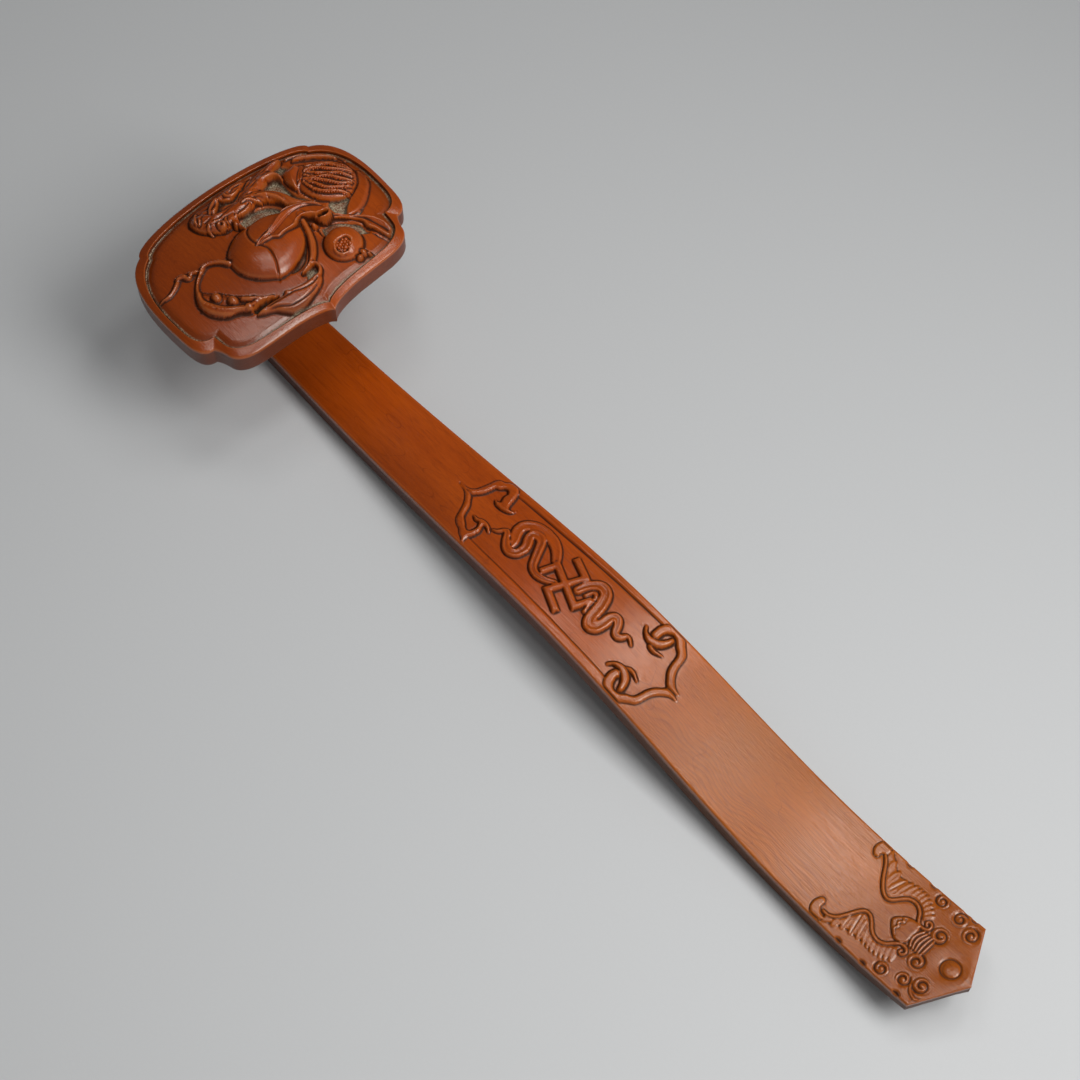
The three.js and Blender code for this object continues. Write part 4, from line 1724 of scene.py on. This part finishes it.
    def build_piece(self, name: str, rows: list[Array], carved_from: int, forms: list[Form]) -> Piece:
        """Build one closed stretch of the shaft.

        Args:
            name: Name of the piece.
            rows: Its cross-sections.
            carved_from: First row that may be carved.
            forms: Forms to carve into its top face.

        Returns:
            The new piece.
        """
        grid = np.stack(rows)
        on_top = np.s_[carved_from:, : self.across]
        relief = Relief(grid[on_top][..., :2] - (self.carving_x, 0.0))
        for form in forms:
            form.carve(relief)
        shape = grid[on_top].shape[:2]
        rounds = 3 if carved_from else 2
        heights = softened(relief.height.reshape(shape), rounds, False)
        from_edge = np.minimum(np.arange(self.across), np.arange(self.across)[::-1])
        heights = np.minimum(heights, 0.0) + np.maximum(heights, 0.0) * eased(from_edge / 3.0)[None, :]
        far_edge = self.across + self.edge_steps
        grid[carved_from:, : self.across, 2] += heights
        grid[carved_from:, self.across : far_edge, 2] += heights[:, -1:]
        grid[carved_from:, -self.edge_steps :, 2] += heights[:, :1]
        skin = Skin.plain(grid)
        skin.read_relief(heights, relief.dust.reshape(shape), False, on_top)
        # Painted highlight and wear along the upper edges.
        for edge in (np.s_[self.across - 2 : far_edge - 1], np.s_[-self.edge_steps :], np.s_[:2]):
            skin.wear_and_highlight[:, edge] = 0.5
        # Painted shade on the sides and the underside.
        skin.grime_and_shade[:, far_edge : -self.edge_steps] = 0.85
        faces = [tuple(reversed(corners)) for corners in closed_faces(*grid.shape[:2])]
        return make_mesh(name, [skin], faces, self.finish)

    def build_body(self) -> Piece:
        """Build the neck and the arched body with its cartouche.

        Returns:
            The new piece.
        """
        rows = []
        for inner, outer in self.neck_rows():
            lower = self.seat_round if outer[1] > self.seat_z - self.seat_stretch else self.lower_round
            rows.append(self.section(inner, outer, self.neck_width / 2, lower))
        marks = self.stations(self.neck_x, self.split_x, self.panel_zone, self.body_steps)
        bent = len(rows)
        rows += self.rows_along(marks)
        return self.build_piece("shaft_body", rows, bent, Cartouche().forms())

    def build_tail(self) -> Piece:
        """Build the tail with its bat and clouds.

        Returns:
            The new piece.
        """
        zone = (self.split_x + self.tail_margin, self.tip_x)
        marks = self.stations(self.split_x, self.tip_x, zone, self.tail_steps)
        rows = self.rows_along(marks)
        return self.build_piece("shaft_tail", rows, 0, TailCarving().forms())


@dataclass
class Cartouche:
    """The framed panel on the shaft's crown, with a ribboned emblem."""

    rise: float = 0.8  # Height of the frame's mouldings
    sink: float = 0.9  # Depth of the panel
    emblem_stroke: float = 2.9  # Width of the emblem's bars

    def forms(self) -> list[Form]:
        """List the forms of the cartouche, from the ground up."""
        inside_panel = self.panel() + self.ribbons() + self.emblem()
        return inside_panel + self.near_bracket() + self.far_bracket()

    def panel(self) -> list[Form]:
        """List the sunken panel with its ogee ends.

        Returns:
            Forms in the order of carving.
        """
        near = [(-59, 1.2), (-56.5, 5), (-55, 10.5), (-51, 14), (-46.5, 14.6)]
        upper = [
            *near, (-42, 14.8), (-20, 15.2), (0, 15.7), (20, 16.3), (38, 17), (46, 17.5), (51, 14.5),
            (53.5, 8), (58, 0.6),
        ]
        lower = [
            (55, -7), (53.5, -13), (46, -17), (38, -15.8), (20, -15.4), (0, -14.9), (-20, -14.3),
            (-42, -13.7), (-46.5, -13.6), (-51, -11), (-55, -6),
        ]
        rail = [(x, y - 0.35) for x, y in upper[5:10]]
        sill = [(x, y + 0.35) for x, y in lower[3:8]]
        return [Hollow(upper + lower, self.sink, 0.45, 0.0), Cut(rail, 0.9, 0.5), Cut(sill, 0.7, 0.2)]

    def bar(self, start: Spot, end: Spot) -> Form:
        """Give one square-ended bar of the emblem.

        Args:
            start: Middle of one end.
            end: Middle of the other end.

        Returns:
            The bar.
        """
        a, b = np.array(start), np.array(end)
        along = (b - a) / np.linalg.norm(b - a) * 0.5 * self.emblem_stroke
        side = np.array([-along[1], along[0]])
        outline = [a - along - side, b + along - side, b + along + side, a - along + side]
        return Swell([tuple(spot) for spot in outline], self.rise + 0.2, 0.5, ditch=0.0, straight=True)

    def emblem(self) -> list[Form]:
        """List the bars of the left-facing wan emblem.

        Returns:
            Forms in the order of carving.
        """
        return [
            self.bar((-9, 3.3), (9, -4.4)),
            self.bar((3.2, 7.4), (-3.8, -7)),
            self.bar((-9, 3.3), (-11.3, -2.4)),
            self.bar((9, -4.4), (11.4, 1.4)),
            self.bar((3.2, 7.4), (-4.8, 10.4)),
            self.bar((-3.8, -7), (4.4, -10.6)),
        ]

    def ribbons(self) -> list[Form]:
        """List the ribbons that fly from the emblem.

        Returns:
            Forms in the order of carving.
        """
        left_inner = [
            (-4, -2.8), (-8, -4.9), (-12, -5.6), (-15.5, -4.2), (-17.6, -1), (-19.6, 2.8), (-21.5, 6),
            (-24, 7), (-26.5, 5.8), (-26.3, 3.6), (-24.6, 1), (-24, -1.5), (-25, -4.8), (-27.8, -6.2),
            (-30.5, -5.2), (-32.8, -3), (-34.8, -0.6), (-36.3, -1), (-38, -3), (-40, -3.9),
        ]
        left_outer = [
            (-11, 4.5), (-14, 7.5), (-18, 9.6), (-23, 10.2), (-28, 9.4), (-31.6, 6.8), (-32.4, 4),
            (-31.3, 1), (-29.8, -1), (-29.2, -3.6),
        ]
        right = [
            (4.8, 1.6), (6, 5.2), (8.3, 8.4), (11, 9.6), (14, 8.3), (15.8, 4.5), (16.6, 0.5), (17.4, -3.6),
            (19.2, -5.5), (21.4, -4.3), (22.3, -1), (22.4, 2), (23.4, 4.2), (25, 4.4), (26.8, 2.6),
            (28.2, 0.1), (29.8, -0.7), (31.3, 0.5), (32.3, 2.2), (33.8, 2.4), (36, 1),
        ]
        right_inner = [(8.6, 2.2), (9.6, 4.8), (11, 5.6), (12.3, 4), (12.7, 0), (13.4, -3)]
        return [
            Stroke(left_outer, (3.6, 4.8, 5.0, 4.8, 3.4), self.rise - 0.35, Section.RIBBON),
            Stroke(left_inner, (2.4, 3.2, 3.8, 4.2, 4.2, 3.4, 2.4, 0.6), self.rise, Section.RIBBON),
            Stroke(right_inner, (1.6, 2.0, 1.6), self.rise - 0.3),
            Stroke(right, (3.6, 4.8, 5.2, 5.0, 4.4, 3.2, 2.4, 0.8), self.rise, Section.RIBBON),
        ]

    def near_bracket(self) -> list[Form]:
        """List the mouldings at the neck end of the panel.

        Returns:
            Forms in the order of carving.
        """
        upper = [
            (-66.5, 1.8), (-62, 2.2), (-59.2, 4), (-57.9, 7), (-57, 10), (-56.2, 13), (-54.8, 14.3),
            (-53, 14.8), (-51.3, 16.2), (-49, 17), (-46.8, 16.4), (-45.2, 14.6), (-44.2, 12), (-43.6, 9.2),
            (-42.8, 7.4), (-41.4, 7.2), (-40.4, 8), (-39.9, 9.2), (-40.3, 7.2), (-41.6, 5.8), (-44, 5),
            (-46.5, 4.7), (-48.6, 5.2), (-50, 6.8), (-48.6, 6.4), (-47.4, 7.2), (-48.3, 9.6), (-48.2, 12),
            (-49.6, 13.2), (-51.2, 12.6), (-52.4, 11.2), (-53.9, 10.4), (-54.6, 8.2), (-55.6, 5.2),
            (-57.4, 2.8), (-59.5, 1.2),
        ]
        lower = [
            (-66.5, 1.2), (-62.5, 0.6), (-60, -1), (-58, -3.2), (-56.6, -5.8), (-55.5, -8.4),
            (-54.4, -10.8), (-52.4, -12.4), (-50, -13.2), (-48.2, -14.6), (-46, -15.6), (-44.4, -16.9),
            (-44.6, -14.2), (-43.4, -11.2), (-43, -8.4), (-43.9, -5.6), (-42, -5.4), (-40, -6.3),
            (-41.4, -4.4), (-43.8, -3.4), (-46.4, -3.6), (-48.4, -4.6), (-50.6, -4.6), (-48.6, -6),
            (-46.6, -5.6), (-45.4, -7.2), (-45.6, -9.8), (-46.8, -11.4), (-48.6, -11.2), (-50.4, -9.8),
            (-52.6, -8.4), (-53.9, -6.4), (-54.9, -3.6), (-57, -1), (-59.5, 1),
        ]
        grooves = [
            [(-48.2, 12), (-48.4, 9.8), (-47.2, 7.4), (-45, 6)],
            [(-46.6, -11), (-45.6, -8.6), (-46.2, -6.2)],
        ]
        plates = [Swell(outline, self.rise, 0.5, ditch=0.25) for outline in (upper, lower)]
        return plates + [Cut(line, 0.7, 0.4) for line in grooves]

    def far_bracket(self) -> list[Form]:
        """List the mouldings at the tail end of the panel.

        Returns:
            Forms in the order of carving.
        """
        band = [
            (63.4, 1.2), (61, 1.8), (59, 3), (57, 5), (55.5, 7.5), (54.8, 10), (54.3, 12.5), (53.3, 14.6),
            (51.5, 16), (50, 17.3), (48, 19), (45.5, 19.6), (42.5, 19.4), (40, 18.4), (38.3, 16.5),
            (37.6, 14), (37.7, 11.5), (38.4, 10), (40, 9.9), (41.2, 11), (41, 12.4), (41.3, 14.2),
            (42.4, 15.8), (44, 16.6), (46, 16.2), (47.6, 15), (48.6, 14), (50, 13.3), (51.2, 12),
            (51.8, 10), (52.3, 7.5), (53.5, 4.5), (55.5, 2.2), (57.6, 0.4), (60.5, 0.3),
        ]
        leaf = [
            (34, 11.8), (34.7, 9.8), (36.6, 7.9), (39, 6.9), (42, 7.3), (44.5, 9), (46, 12), (46.2, 14.8),
            (44.9, 15.6), (44, 13.8), (43, 12), (41, 10.3), (38.5, 9.5), (36, 9.9),
        ]
        lip = [(40.2, 6.6), (41.5, 5.5), (43.6, 5.3), (46, 6.4), (47.5, 7.6), (44.4, 6.9), (41.8, 7)]
        forms: list[Form] = []
        for side, shift in ((1, 0.0), (-1, 1.2)):
            for outline, rise in ((lip, self.rise), (leaf, self.rise + 0.15), (band, self.rise)):
                placed = [(x + shift, side * y) for x, y in outline]
                forms.append(Swell(placed, rise, 0.55, ditch=0.25))
        return forms


@dataclass
class TailCarving:
    """The bat and clouds on the tail."""

    ground_rise: float = 0.3  # Height of the wings' ground, which the feathers start from
    curl_rise: float = 0.5  # Height of the wings' curled ends
    edge_rise: float = 0.65  # Height of the wings' leading edges and of the bat's striped tail
    spiral_depth: float = 0.9  # Depth of the cloud spirals

    def forms(self) -> list[Form]:
        """List the forms of the tail, from the ground up."""
        return self.ground() + self.feathers() + self.wings() + self.body() + self.clouds()

    def ground(self) -> list[Form]:
        """List the smooth dish round the plug and the notches in the edges.

        Returns:
            Forms in the order of carving.
        """
        dish = Hollow(oval((207.5, 0.3), (7.5, 8.5)), 0.25, 6.0, 0.0)
        groove = Cut(oval((208.6, 0.0), (3.9, 3.9)), 1.4, 0.5, closed=True)
        forms: list[Form] = [dish, groove]
        for edge, depth, places in ((21.8, 0.7, (170.2, 182.0, 202.0)), (-21.8, 1.2, (172.2, 184.4, 201.0))):
            forms += [Hollow(oval((x, edge), (2.2, 2.2)), depth, 0.5, 0.1) for x in places]
        return forms

    def feathers(self) -> list[Form]:
        """List both wings' filled ground and their feathers.

        Returns:
            Forms in the order of carving.
        """
        upper_ground = [
            (161, 16.5), (164, 13.5), (167, 9.6), (170.4, 6), (173.4, 5), (176, 7), (178.6, 10.2),
            (182, 11.5), (185.4, 10.4), (188, 8), (190, 10), (187, 13.4), (182, 15.4), (176, 15.2),
            (170, 14.4), (165, 18), (161.5, 20),
        ]
        upper = [
            ((163.2, 15.6), (162, 20.2), 2.6), ((166.4, 12.8), (165.6, 18), 2.7),
            ((169.2, 9.8), (169.8, 16), 3.0), ((171.9, 7.2), (174, 15.2), 3.4),
            ((174.9, 8), (176.4, 16), 3.0), ((177.1, 10), (178.4, 16.6), 2.6),
            ((179.2, 11.4), (180.2, 16.6), 2.3), ((181.2, 12), (181.9, 16.6), 2.2),
            ((183, 12), (183.6, 16.4), 2.1), ((184.7, 11.4), (185.4, 15.6), 2.1),
            ((186.1, 10.4), (187.2, 14.6), 2.1), ((187.4, 9.2), (189, 13.4), 2.1),
            ((188.4, 7.8), (190.6, 11.8), 2.1),
        ]
        lower = [
            ((164.4, -15.9), (162.7, -19.8), 2.5), ((167.3, -12.8), (166.5, -18.8), 2.8),
            ((169.2, -9.5), (170, -17.2), 3.2), ((171.4, -6.8), (173.8, -16.6), 3.6),
            ((174.7, -7), (177, -16), 3.2), ((177, -8.4), (179.5, -15.6), 2.6),
            ((179.6, -9.8), (181.6, -15.8), 2.3), ((181.8, -10.6), (183.6, -16), 2.2),
            ((183.8, -10.2), (185.6, -15.8), 2.2), ((185.6, -9.2), (187.4, -15.2), 2.2),
            ((187.4, -8.4), (189.2, -14.6), 2.2), ((189, -7.8), (191.2, -13.6), 2.2),
        ]
        lower_ground = [
            (162, -17), (165.4, -15.4), (167.4, -12.4), (169.4, -8.6), (171.6, -6), (174, -6), (177, -8.8),
            (181, -11), (185, -10.2), (188, -8), (190, -10.6), (186, -13.8), (178, -14.6), (170, -15.6),
            (164, -18.6),
        ]
        rise = self.ground_rise
        forms: list[Form] = [Swell(ground, rise, 1.5) for ground in (upper_ground, lower_ground)]
        forms += [Feather(root, tip, 1.2 * width, rise, 0.16) for root, tip, width in upper + lower]
        return forms

    def wings(self) -> list[Form]:
        """List the leading edge of both wings and their curled ends.

        Returns:
            Forms in the order of carving.
        """
        upper = [
            (161.2, 16.6), (162.8, 15.2), (164.2, 13.4), (166.4, 10), (168.8, 7), (171, 5.1), (173.3, 4.3),
            (175.2, 5.2), (177, 7.6), (179, 9.8), (181.5, 10.7), (184, 10.2), (186, 8.6), (187.2, 6.6),
            (188.6, 5.2), (190.4, 4.9), (192.4, 5.8), (192.6, 7.8), (191.2, 8.7), (190.2, 7.6), (191, 6.8),
        ]
        lower = [
            (160.4, -16.4), (163, -16.2), (165.4, -14.6), (167.4, -11.4), (169.2, -7.8), (171.2, -5.3),
            (173.4, -5), (175.6, -6.4), (178, -8.8), (180.6, -10.2), (183.2, -10.3), (185.6, -9),
            (187.4, -6.9), (189.2, -5.4), (191.4, -5.2), (193, -6.6), (192.2, -8.4), (190.8, -8),
            (191.2, -7),
        ]
        upper_curl = [
            (157.5, 20.7), (156.5, 20), (155.9, 18.1), (156, 16.1), (156.9, 14.6), (158, 13.8), (159.3, 14),
            (159.7, 14.9), (159.5, 15.9), (160.3, 16.5), (161.6, 16.6), (161.4, 17.9), (161.2, 20.1),
        ]
        lower_curl = [
            (157.4, -12.5), (155.9, -13.4), (155.1, -16), (155.8, -18.8), (158, -20.4), (161.5, -20.2),
            (162.4, -18.4), (160, -17.4), (158.6, -15.8), (158.7, -13.8),
        ]
        band = (1.0, 1.2, 1.3, 1.3, 1.3, 1.2, 1.2, 1.1, 0.9)
        curls = [Swell(outline, self.curl_rise, 0.8) for outline in (upper_curl, lower_curl)]
        edges = [Stroke(line, band, self.edge_rise, Section.FLAT, ditch=0.4) for line in (upper, lower)]
        return curls + edges

    def body(self) -> list[Form]:
        """List the bat's head, body and striped tail.

        Returns:
            Forms in the order of carving.
        """
        head = [
            (180.3, 0), (182, 2.6), (184.3, 4.4), (187, 5.2), (189.8, 4.6), (190.6, 0), (189.8, -4.2),
            (187, -5.6), (184.5, -4.8), (182, -2.6),
        ]
        mask = [
            (184.6, 4.2), (183.2, 3), (184.2, 1.8), (182.8, 0.4), (183.8, -1), (183.2, -2.4), (184.8, -4.3),
        ]
        brow = Stroke(mask, (0.5, 0.9, 0.9, 0.5), 0.3, over=True, ditch=0.3)
        forms: list[Form] = [Swell(head, 0.6, 0.8), brow]
        for number in range(5):
            x = 191.0 + 1.55 * number
            end_x = x + 1.2 - 0.3 * number
            line = [(end_x, 4.2), (x, 1.4), (x, -1.2), (end_x, -3.6)]
            forms.append(Stroke(line, (1.0, 1.3, 1.3, 1.0), self.edge_rise, ditch=0.35))
        return forms

    def clouds(self) -> list[Form]:
        """List the cloud spirals.

        Returns:
            Forms in the order of carving.
        """
        curls = [
            ((197.3, 7.1), 3.3, 260, 1.25),
            ((198.0, -6.5), 3.3, 100, -1.25),
            ((188.6, 18.3), 2.7, 150, 1.2),
            ((198.0, 17.4), 3.0, 60, 1.25),
            ((205.1, 15.1), 3.2, 110, -1.25),
            ((190.8, -17.5), 2.8, 150, 1.2),
            ((199.1, -15.0), 2.7, 60, -1.25),
            ((205.7, -12.3), 3.2, 230, 1.25),
        ]
        forms: list[Form] = []
        for centre, radius, start, turns in curls:
            forms.append(Swell(oval(centre, (radius, radius)), 0.35, 0.8, ditch=0.2))
            forms.append(Cut(spiral(centre, radius, start, turns), 1.5, self.spiral_depth))
            forms.append(Ball(centre, (0.9, 0.9), 0.6))
        border = [(202.4, -14.6), (204.2, -16.8), (207, -17.8), (209, -16.8)]
        forms.append(Stroke(border, (0.6, 1.0, 1.0, 0.6), 0.35, ditch=0.3))
        return forms


@dataclass
class TailPlug:
    """The domed button that stops the cord hole."""

    shaft: Shaft
    x: float = 208.6
    radius: float = 3.4
    proud: float = 1.0  # How far it stands out
    depth: float = 4.8  # How deep it goes into the hole
    sides: int = 72  # Points round it

    def profile(self) -> Points:
        """Lay out the button's side.

        Returns:
            Radius and height of each ring, from the foot to the top.
        """
        deep = -self.depth
        rings = [(0.4, deep), (0.8, deep), (self.radius, deep + 0.3), (self.radius, -0.3)]
        for t in np.linspace(0.0, 0.5 * math.pi, 12)[:-1]:
            rings.append((self.radius * math.cos(t), self.proud * math.sin(t) ** 0.8))
        return [*rings, (0.12 * self.radius, self.proud - 0.02)]

    def build(self) -> Piece:
        """Turn the button and stand it square to the tail's slope.

        Returns:
            The new piece.
        """
        run = self.shaft.tip_x - self.shaft.foot_x
        lift = self.shaft.tip_top - self.shaft.foot_thickness
        share = (self.x - self.shaft.foot_x) / run
        z = self.shaft.foot_thickness + lift * share**2
        slope = math.atan(2.0 * lift * share / run)
        angles = np.arange(self.sides) / self.sides * 2.0 * math.pi
        rows = []
        for radius, k in self.profile():
            along = radius * np.cos(angles)
            x = self.x + along * math.cos(slope) - k * math.sin(slope)
            height = z + along * math.sin(slope) + k * math.cos(slope)
            rows.append(np.column_stack([x, radius * np.sin(angles), height]))
        skin = Skin.plain(np.stack(rows))
        # Painted shade round the button's foot and a painted highlight on its dome.
        skin.grime_and_shade[3:6] = 0.8
        skin.wear_and_highlight[7:] = 0.3
        return make_mesh("tail_button", [skin], closed_faces(len(rows), self.sides), self.shaft.finish)


@dataclass
class FruitBeads:
    """The beaded fingers of the citron and the seeds of the pomegranate."""

    head: HeadPlaque
    bead_radius: float = 0.5
    bead_pitch: float = 1.1
    seed_radius: float = 0.8
    seed_pitch: float = 1.35
    size_spread: float = 0.35  # Greatest share that a bead is larger or smaller
    bead_shift: Spot = (0.5, -0.45)  # From a finger's middle to its edge
    bead_sink: float = 0.15  # How far a bead's middle lies in the wood
    seed_lift: float = 0.25  # How far a seed's middle stands out
    window_at: Spot = (22.2, 20.2)  # Middle of the window
    window_half: Spot = (2.7, 3.6)  # Half sizes of the window

    def surface(self, spots: Array) -> Array:
        """Lift plan spots onto the carved field.

        Args:
            spots: Places on the carving, one per row.

        Returns:
            Places in the part's frame.
        """
        shares, relief = self.head.carved()
        heights = self.head.field_z(shares).ravel() + relief.height
        places = []
        for spot in spots:
            nearest = int(np.argmin(np.sum((relief.plan - spot) ** 2, axis=1)))
            places.append((*(spot + np.array(self.head.carving_at)), heights[nearest]))
        return np.array(places)

    def tree(self, name: str, radius: float, pitch: float, along_lines: bool) -> GeometryTree:
        """Build the tree that sets beads on points or along lines.

        Args:
            name: Name of the tree.
            radius: Radius of a bead, in millimetres.
            pitch: Distance between beads, in millimetres.
            along_lines: Whether the beads follow lines.

        Returns:
            The finished tree.
        """
        sizes = {"Bead radius": radius * MM, "Bead pitch": pitch * MM, "Size spread": self.size_spread}
        tree = GeometryTree(name, sizes)
        nodes = tree.nodes
        given = tree.given.outputs
        spots = given["Geometry"]
        if along_lines:
            curve = nodes.add("GeometryNodeMeshToCurve", {"Mesh": spots})
            spacing = {"Curve": curve.outputs[0], "Length": given["Bead pitch"]}
            spots = nodes.add("GeometryNodeResampleCurve", spacing, mode="LENGTH").outputs[0]
        shape = {"Segments": 8, "Rings": 5, "Radius": given["Bead radius"]}
        bead = nodes.add("GeometryNodeMeshUVSphere", shape).outputs[0]
        size = nodes.add("FunctionNodeRandomValue", {"Seed": 7}, data_type="FLOAT")
        least, most = [socket for socket in size.inputs if socket.type == "VALUE"][:2]
        tree.group.links.new(nodes.maths("SUBTRACT", 1.0, given["Size spread"]), least)
        tree.group.links.new(nodes.maths("ADD", 1.0, given["Size spread"]), most)
        scale = [socket for socket in size.outputs if socket.type == "VALUE"][0]
        placing = {"Points": spots, "Instance": bead, "Scale": scale}
        tree.end(nodes.add("GeometryNodeInstanceOnPoints", placing).outputs[0], self.head.finish)
        return tree

    def build_beads(self) -> Piece:
        """Set beads along the edges of the citron's fingers.

        Returns:
            The new piece.
        """
        plan: list[Array] = []
        edges: list[tuple[int, int]] = []
        for number, line in enumerate(self.head.finger_lines()):
            path = smooth_path(line)[3 * number % 5 :] + self.bead_shift
            start = len(plan)
            plan += list(path)
            edges += [(start + i, start + i + 1) for i in range(len(path) - 1)]
        places = self.surface(np.array(plan))
        places[:, 2] -= self.bead_sink
        tree = self.tree("citron_beads", self.bead_radius, self.bead_pitch, True)
        return tree.grow("citron_beads", places, edges)

    def build_seeds(self) -> Piece:
        """Pack seeds into the pomegranate's window.

        Returns:
            The new piece.
        """
        spots = []
        for row in range(-4, 5):
            for column in range(-3, 4):
                u = (column + 0.5 * (row % 2)) * self.seed_pitch
                v = row * self.seed_pitch * 0.87
                if (u / self.window_half[0]) ** 2 + (v / self.window_half[1]) ** 2 < 1.0:
                    spots.append((self.window_at[0] + u, self.window_at[1] + v))
        places = self.surface(np.array(lifted(spots, 4.0)))
        places[:, 2] += self.seed_lift
        tree = self.tree("pomegranate_seeds", self.seed_radius, self.seed_pitch, False)
        return tree.grow("pomegranate_seeds", places, [])


@dataclass
class InnerJoint:
    """The hidden tongue, wedges and pins, which keep their CAD shapes."""

    wooden: tuple[str, ...] = ("neck_tongue", "tongue_wedge_left", "tongue_wedge_right")
    bamboo: tuple[str, ...] = ("neck_pin_left", "neck_pin_right")

    def dress(self) -> None:
        """Give each piece its finish."""
        sawn = SawnWood("sawn_boxwood", (0.36, 0.16, 0.07), (0.24, 0.1, 0.04), (900.0, 900.0, 60.0))
        split = SawnWood("split_bamboo", (0.6, 0.42, 0.22), (0.42, 0.27, 0.12), (1800.0, 1800.0, 40.0))
        for names, wood in ((self.wooden, sawn), (self.bamboo, split)):
            finish = wood.material()
            for name in names:
                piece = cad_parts[name]
                piece.data.materials.clear()
                piece.data.materials.append(finish)
                LOG.info("%s: dressed", name)


@dataclass(frozen=True)
class SoftBox:
    """A soft box that lights the object."""

    name: str
    place: Triple  # Where it hangs, in metres
    size: Spot  # Its length and width, in metres
    power: float  # Its power in watts
    facing: Triple = (0.0, 0.0, -1.0)  # Direction that it shines in

    def hang(self) -> None:
        """Hang the lamp in the scene."""
        data = bpy.data.lights.new(self.name, "AREA")
        data.shape = "RECTANGLE"
        data.size, data.size_y = self.size
        data.energy = self.power
        lamp = bpy.data.objects.new(self.name, data)
        lamp.location = self.place
        back = -Vector(self.facing).normalized()
        along = Vector((0.0, 1.0, 0.0)).cross(back).normalized()
        lamp.rotation_euler = Matrix((along, back.cross(along), back)).transposed().to_euler()
        bpy.context.scene.collection.objects.link(lamp)


@dataclass
class Studio:
    """Floor, light and camera."""

    target: Triple = (-32.3, 14.6, 0.0)  # Point that the camera looks at
    distance: float = 912.8
    azimuth: float = 47.68  # Turn of the camera round the object, in degrees
    elevation: float = 63.01  # Height of the camera over the horizon, in degrees
    focal_pixels: float = 2200.0  # Focal length in pixels of a frame of frame_pixels
    frame_pixels: float = 1080.0  # Width of that frame
    sky_strength: float = 0.19  # Strength of the even light from all round
    floor_reach: float = 6.0  # Half the floor's length, in metres
    boxes: tuple[SoftBox, ...] = (
        SoftBox("key_box", (0.57, 0.2, 0.79), (0.64, 0.53), 8.8, (-0.275, -1.536, -1.0)),
        SoftBox("top_box", (-0.02, 0.29, 0.8), (0.13, 0.26), 0.78),
        SoftBox("bridge_box", (0.125, 0.29, 0.8), (0.16, 0.26), 0.06),
        SoftBox("head_box", (-0.27, 0.08, 0.8), (0.2, 0.16), 0.52),
        SoftBox("rim_box", (0.25, 0.17, 0.8), (0.26, 0.16), 0.38),
        SoftBox("facet_box", (-0.05, -0.06, 0.8), (0.14, 0.1), 0.3),
    )

    def build_camera(self) -> None:
        """Set the camera where the photograph was taken from."""
        turn = math.radians(self.azimuth)
        rise = math.radians(self.elevation)
        back = Vector((math.sin(turn) * math.cos(rise), -math.cos(turn) * math.cos(rise), math.sin(rise)))
        data = bpy.data.cameras.new("camera")
        data.sensor_width = 36.0
        data.sensor_fit = "HORIZONTAL"
        data.lens = self.focal_pixels / self.frame_pixels * data.sensor_width
        data.clip_start = 0.01
        data.clip_end = 50.0
        camera = bpy.data.objects.new("camera", data)
        camera.location = (Vector(self.target) + back * self.distance) * MM
        camera.rotation_euler = back.to_track_quat("Z", "Y").to_euler()
        bpy.context.scene.collection.objects.link(camera)
        bpy.context.scene.camera = camera

    def build_light(self) -> None:
        """Hang the soft boxes and set the sky, which is darker behind the head."""
        for box in self.boxes:
            box.hang()
        world = bpy.data.worlds.new("studio")
        world.use_nodes = True
        nodes = NodeBuilder(world.node_tree)
        direction = nodes.add("ShaderNodeTexCoord").outputs["Generated"]
        sideways = nodes.add("ShaderNodeSeparateXYZ", {0: direction}).outputs[0]
        strength = nodes.fit(sideways, -0.3, 0.5, 0.4 * self.sky_strength, 1.7 * self.sky_strength)
        sky = nodes.add("ShaderNodeBackground", {"Color": (0.96, 0.98, 1.0, 1.0), "Strength": strength})
        nodes.add("ShaderNodeOutputWorld", {"Surface": sky.outputs[0]})
        bpy.context.scene.world = world

    def build_floor(self) -> None:
        """Lay the plain floor under the object."""
        mesh = bpy.data.meshes.new("floor")
        reach = self.floor_reach
        spots = [(x * reach, y * reach, 0.0) for x, y in ((-1, -1), (1, -1), (1, 1), (-1, 1))]
        mesh.from_pydata(spots, [], [(0, 1, 2, 3)])
        mesh.materials.append(FloorPaint().material())
        floor = bpy.data.objects.new("floor", mesh)
        bpy.context.scene.collection.objects.link(floor)

    def build(self) -> None:
        """Build the whole studio."""
        self.build_camera()
        self.build_light()
        self.build_floor()
        bpy.context.scene.view_settings.view_transform = "Standard"


def corners(box: tuple[Vector, Vector]) -> list[list[float]]:
    """Give a box as plain lists."""
    return [list(corner) for corner in box]


def main() -> None:
    """Build every piece and report it."""
    logging.basicConfig(level=logging.INFO, format="%(name)s: %(message)s")
    Studio().build()
    boxwood = WaxedBoxwood().material()
    shaft = Shaft(boxwood)
    place_piece(shaft.build_body(), "shaft")
    place_piece(shaft.build_tail(), "shaft")
    head = HeadPlaque(boxwood)
    place_piece(head.build_rim(), "head_plaque")
    place_piece(head.build_field(), "head_plaque")
    beads = FruitBeads(head)
    place_piece(beads.build_beads())
    place_piece(beads.build_seeds())
    place_piece(TailPlug(shaft).build(), "tail_plug")
    InnerJoint().dress()


if __name__ == "__main__":
    main()
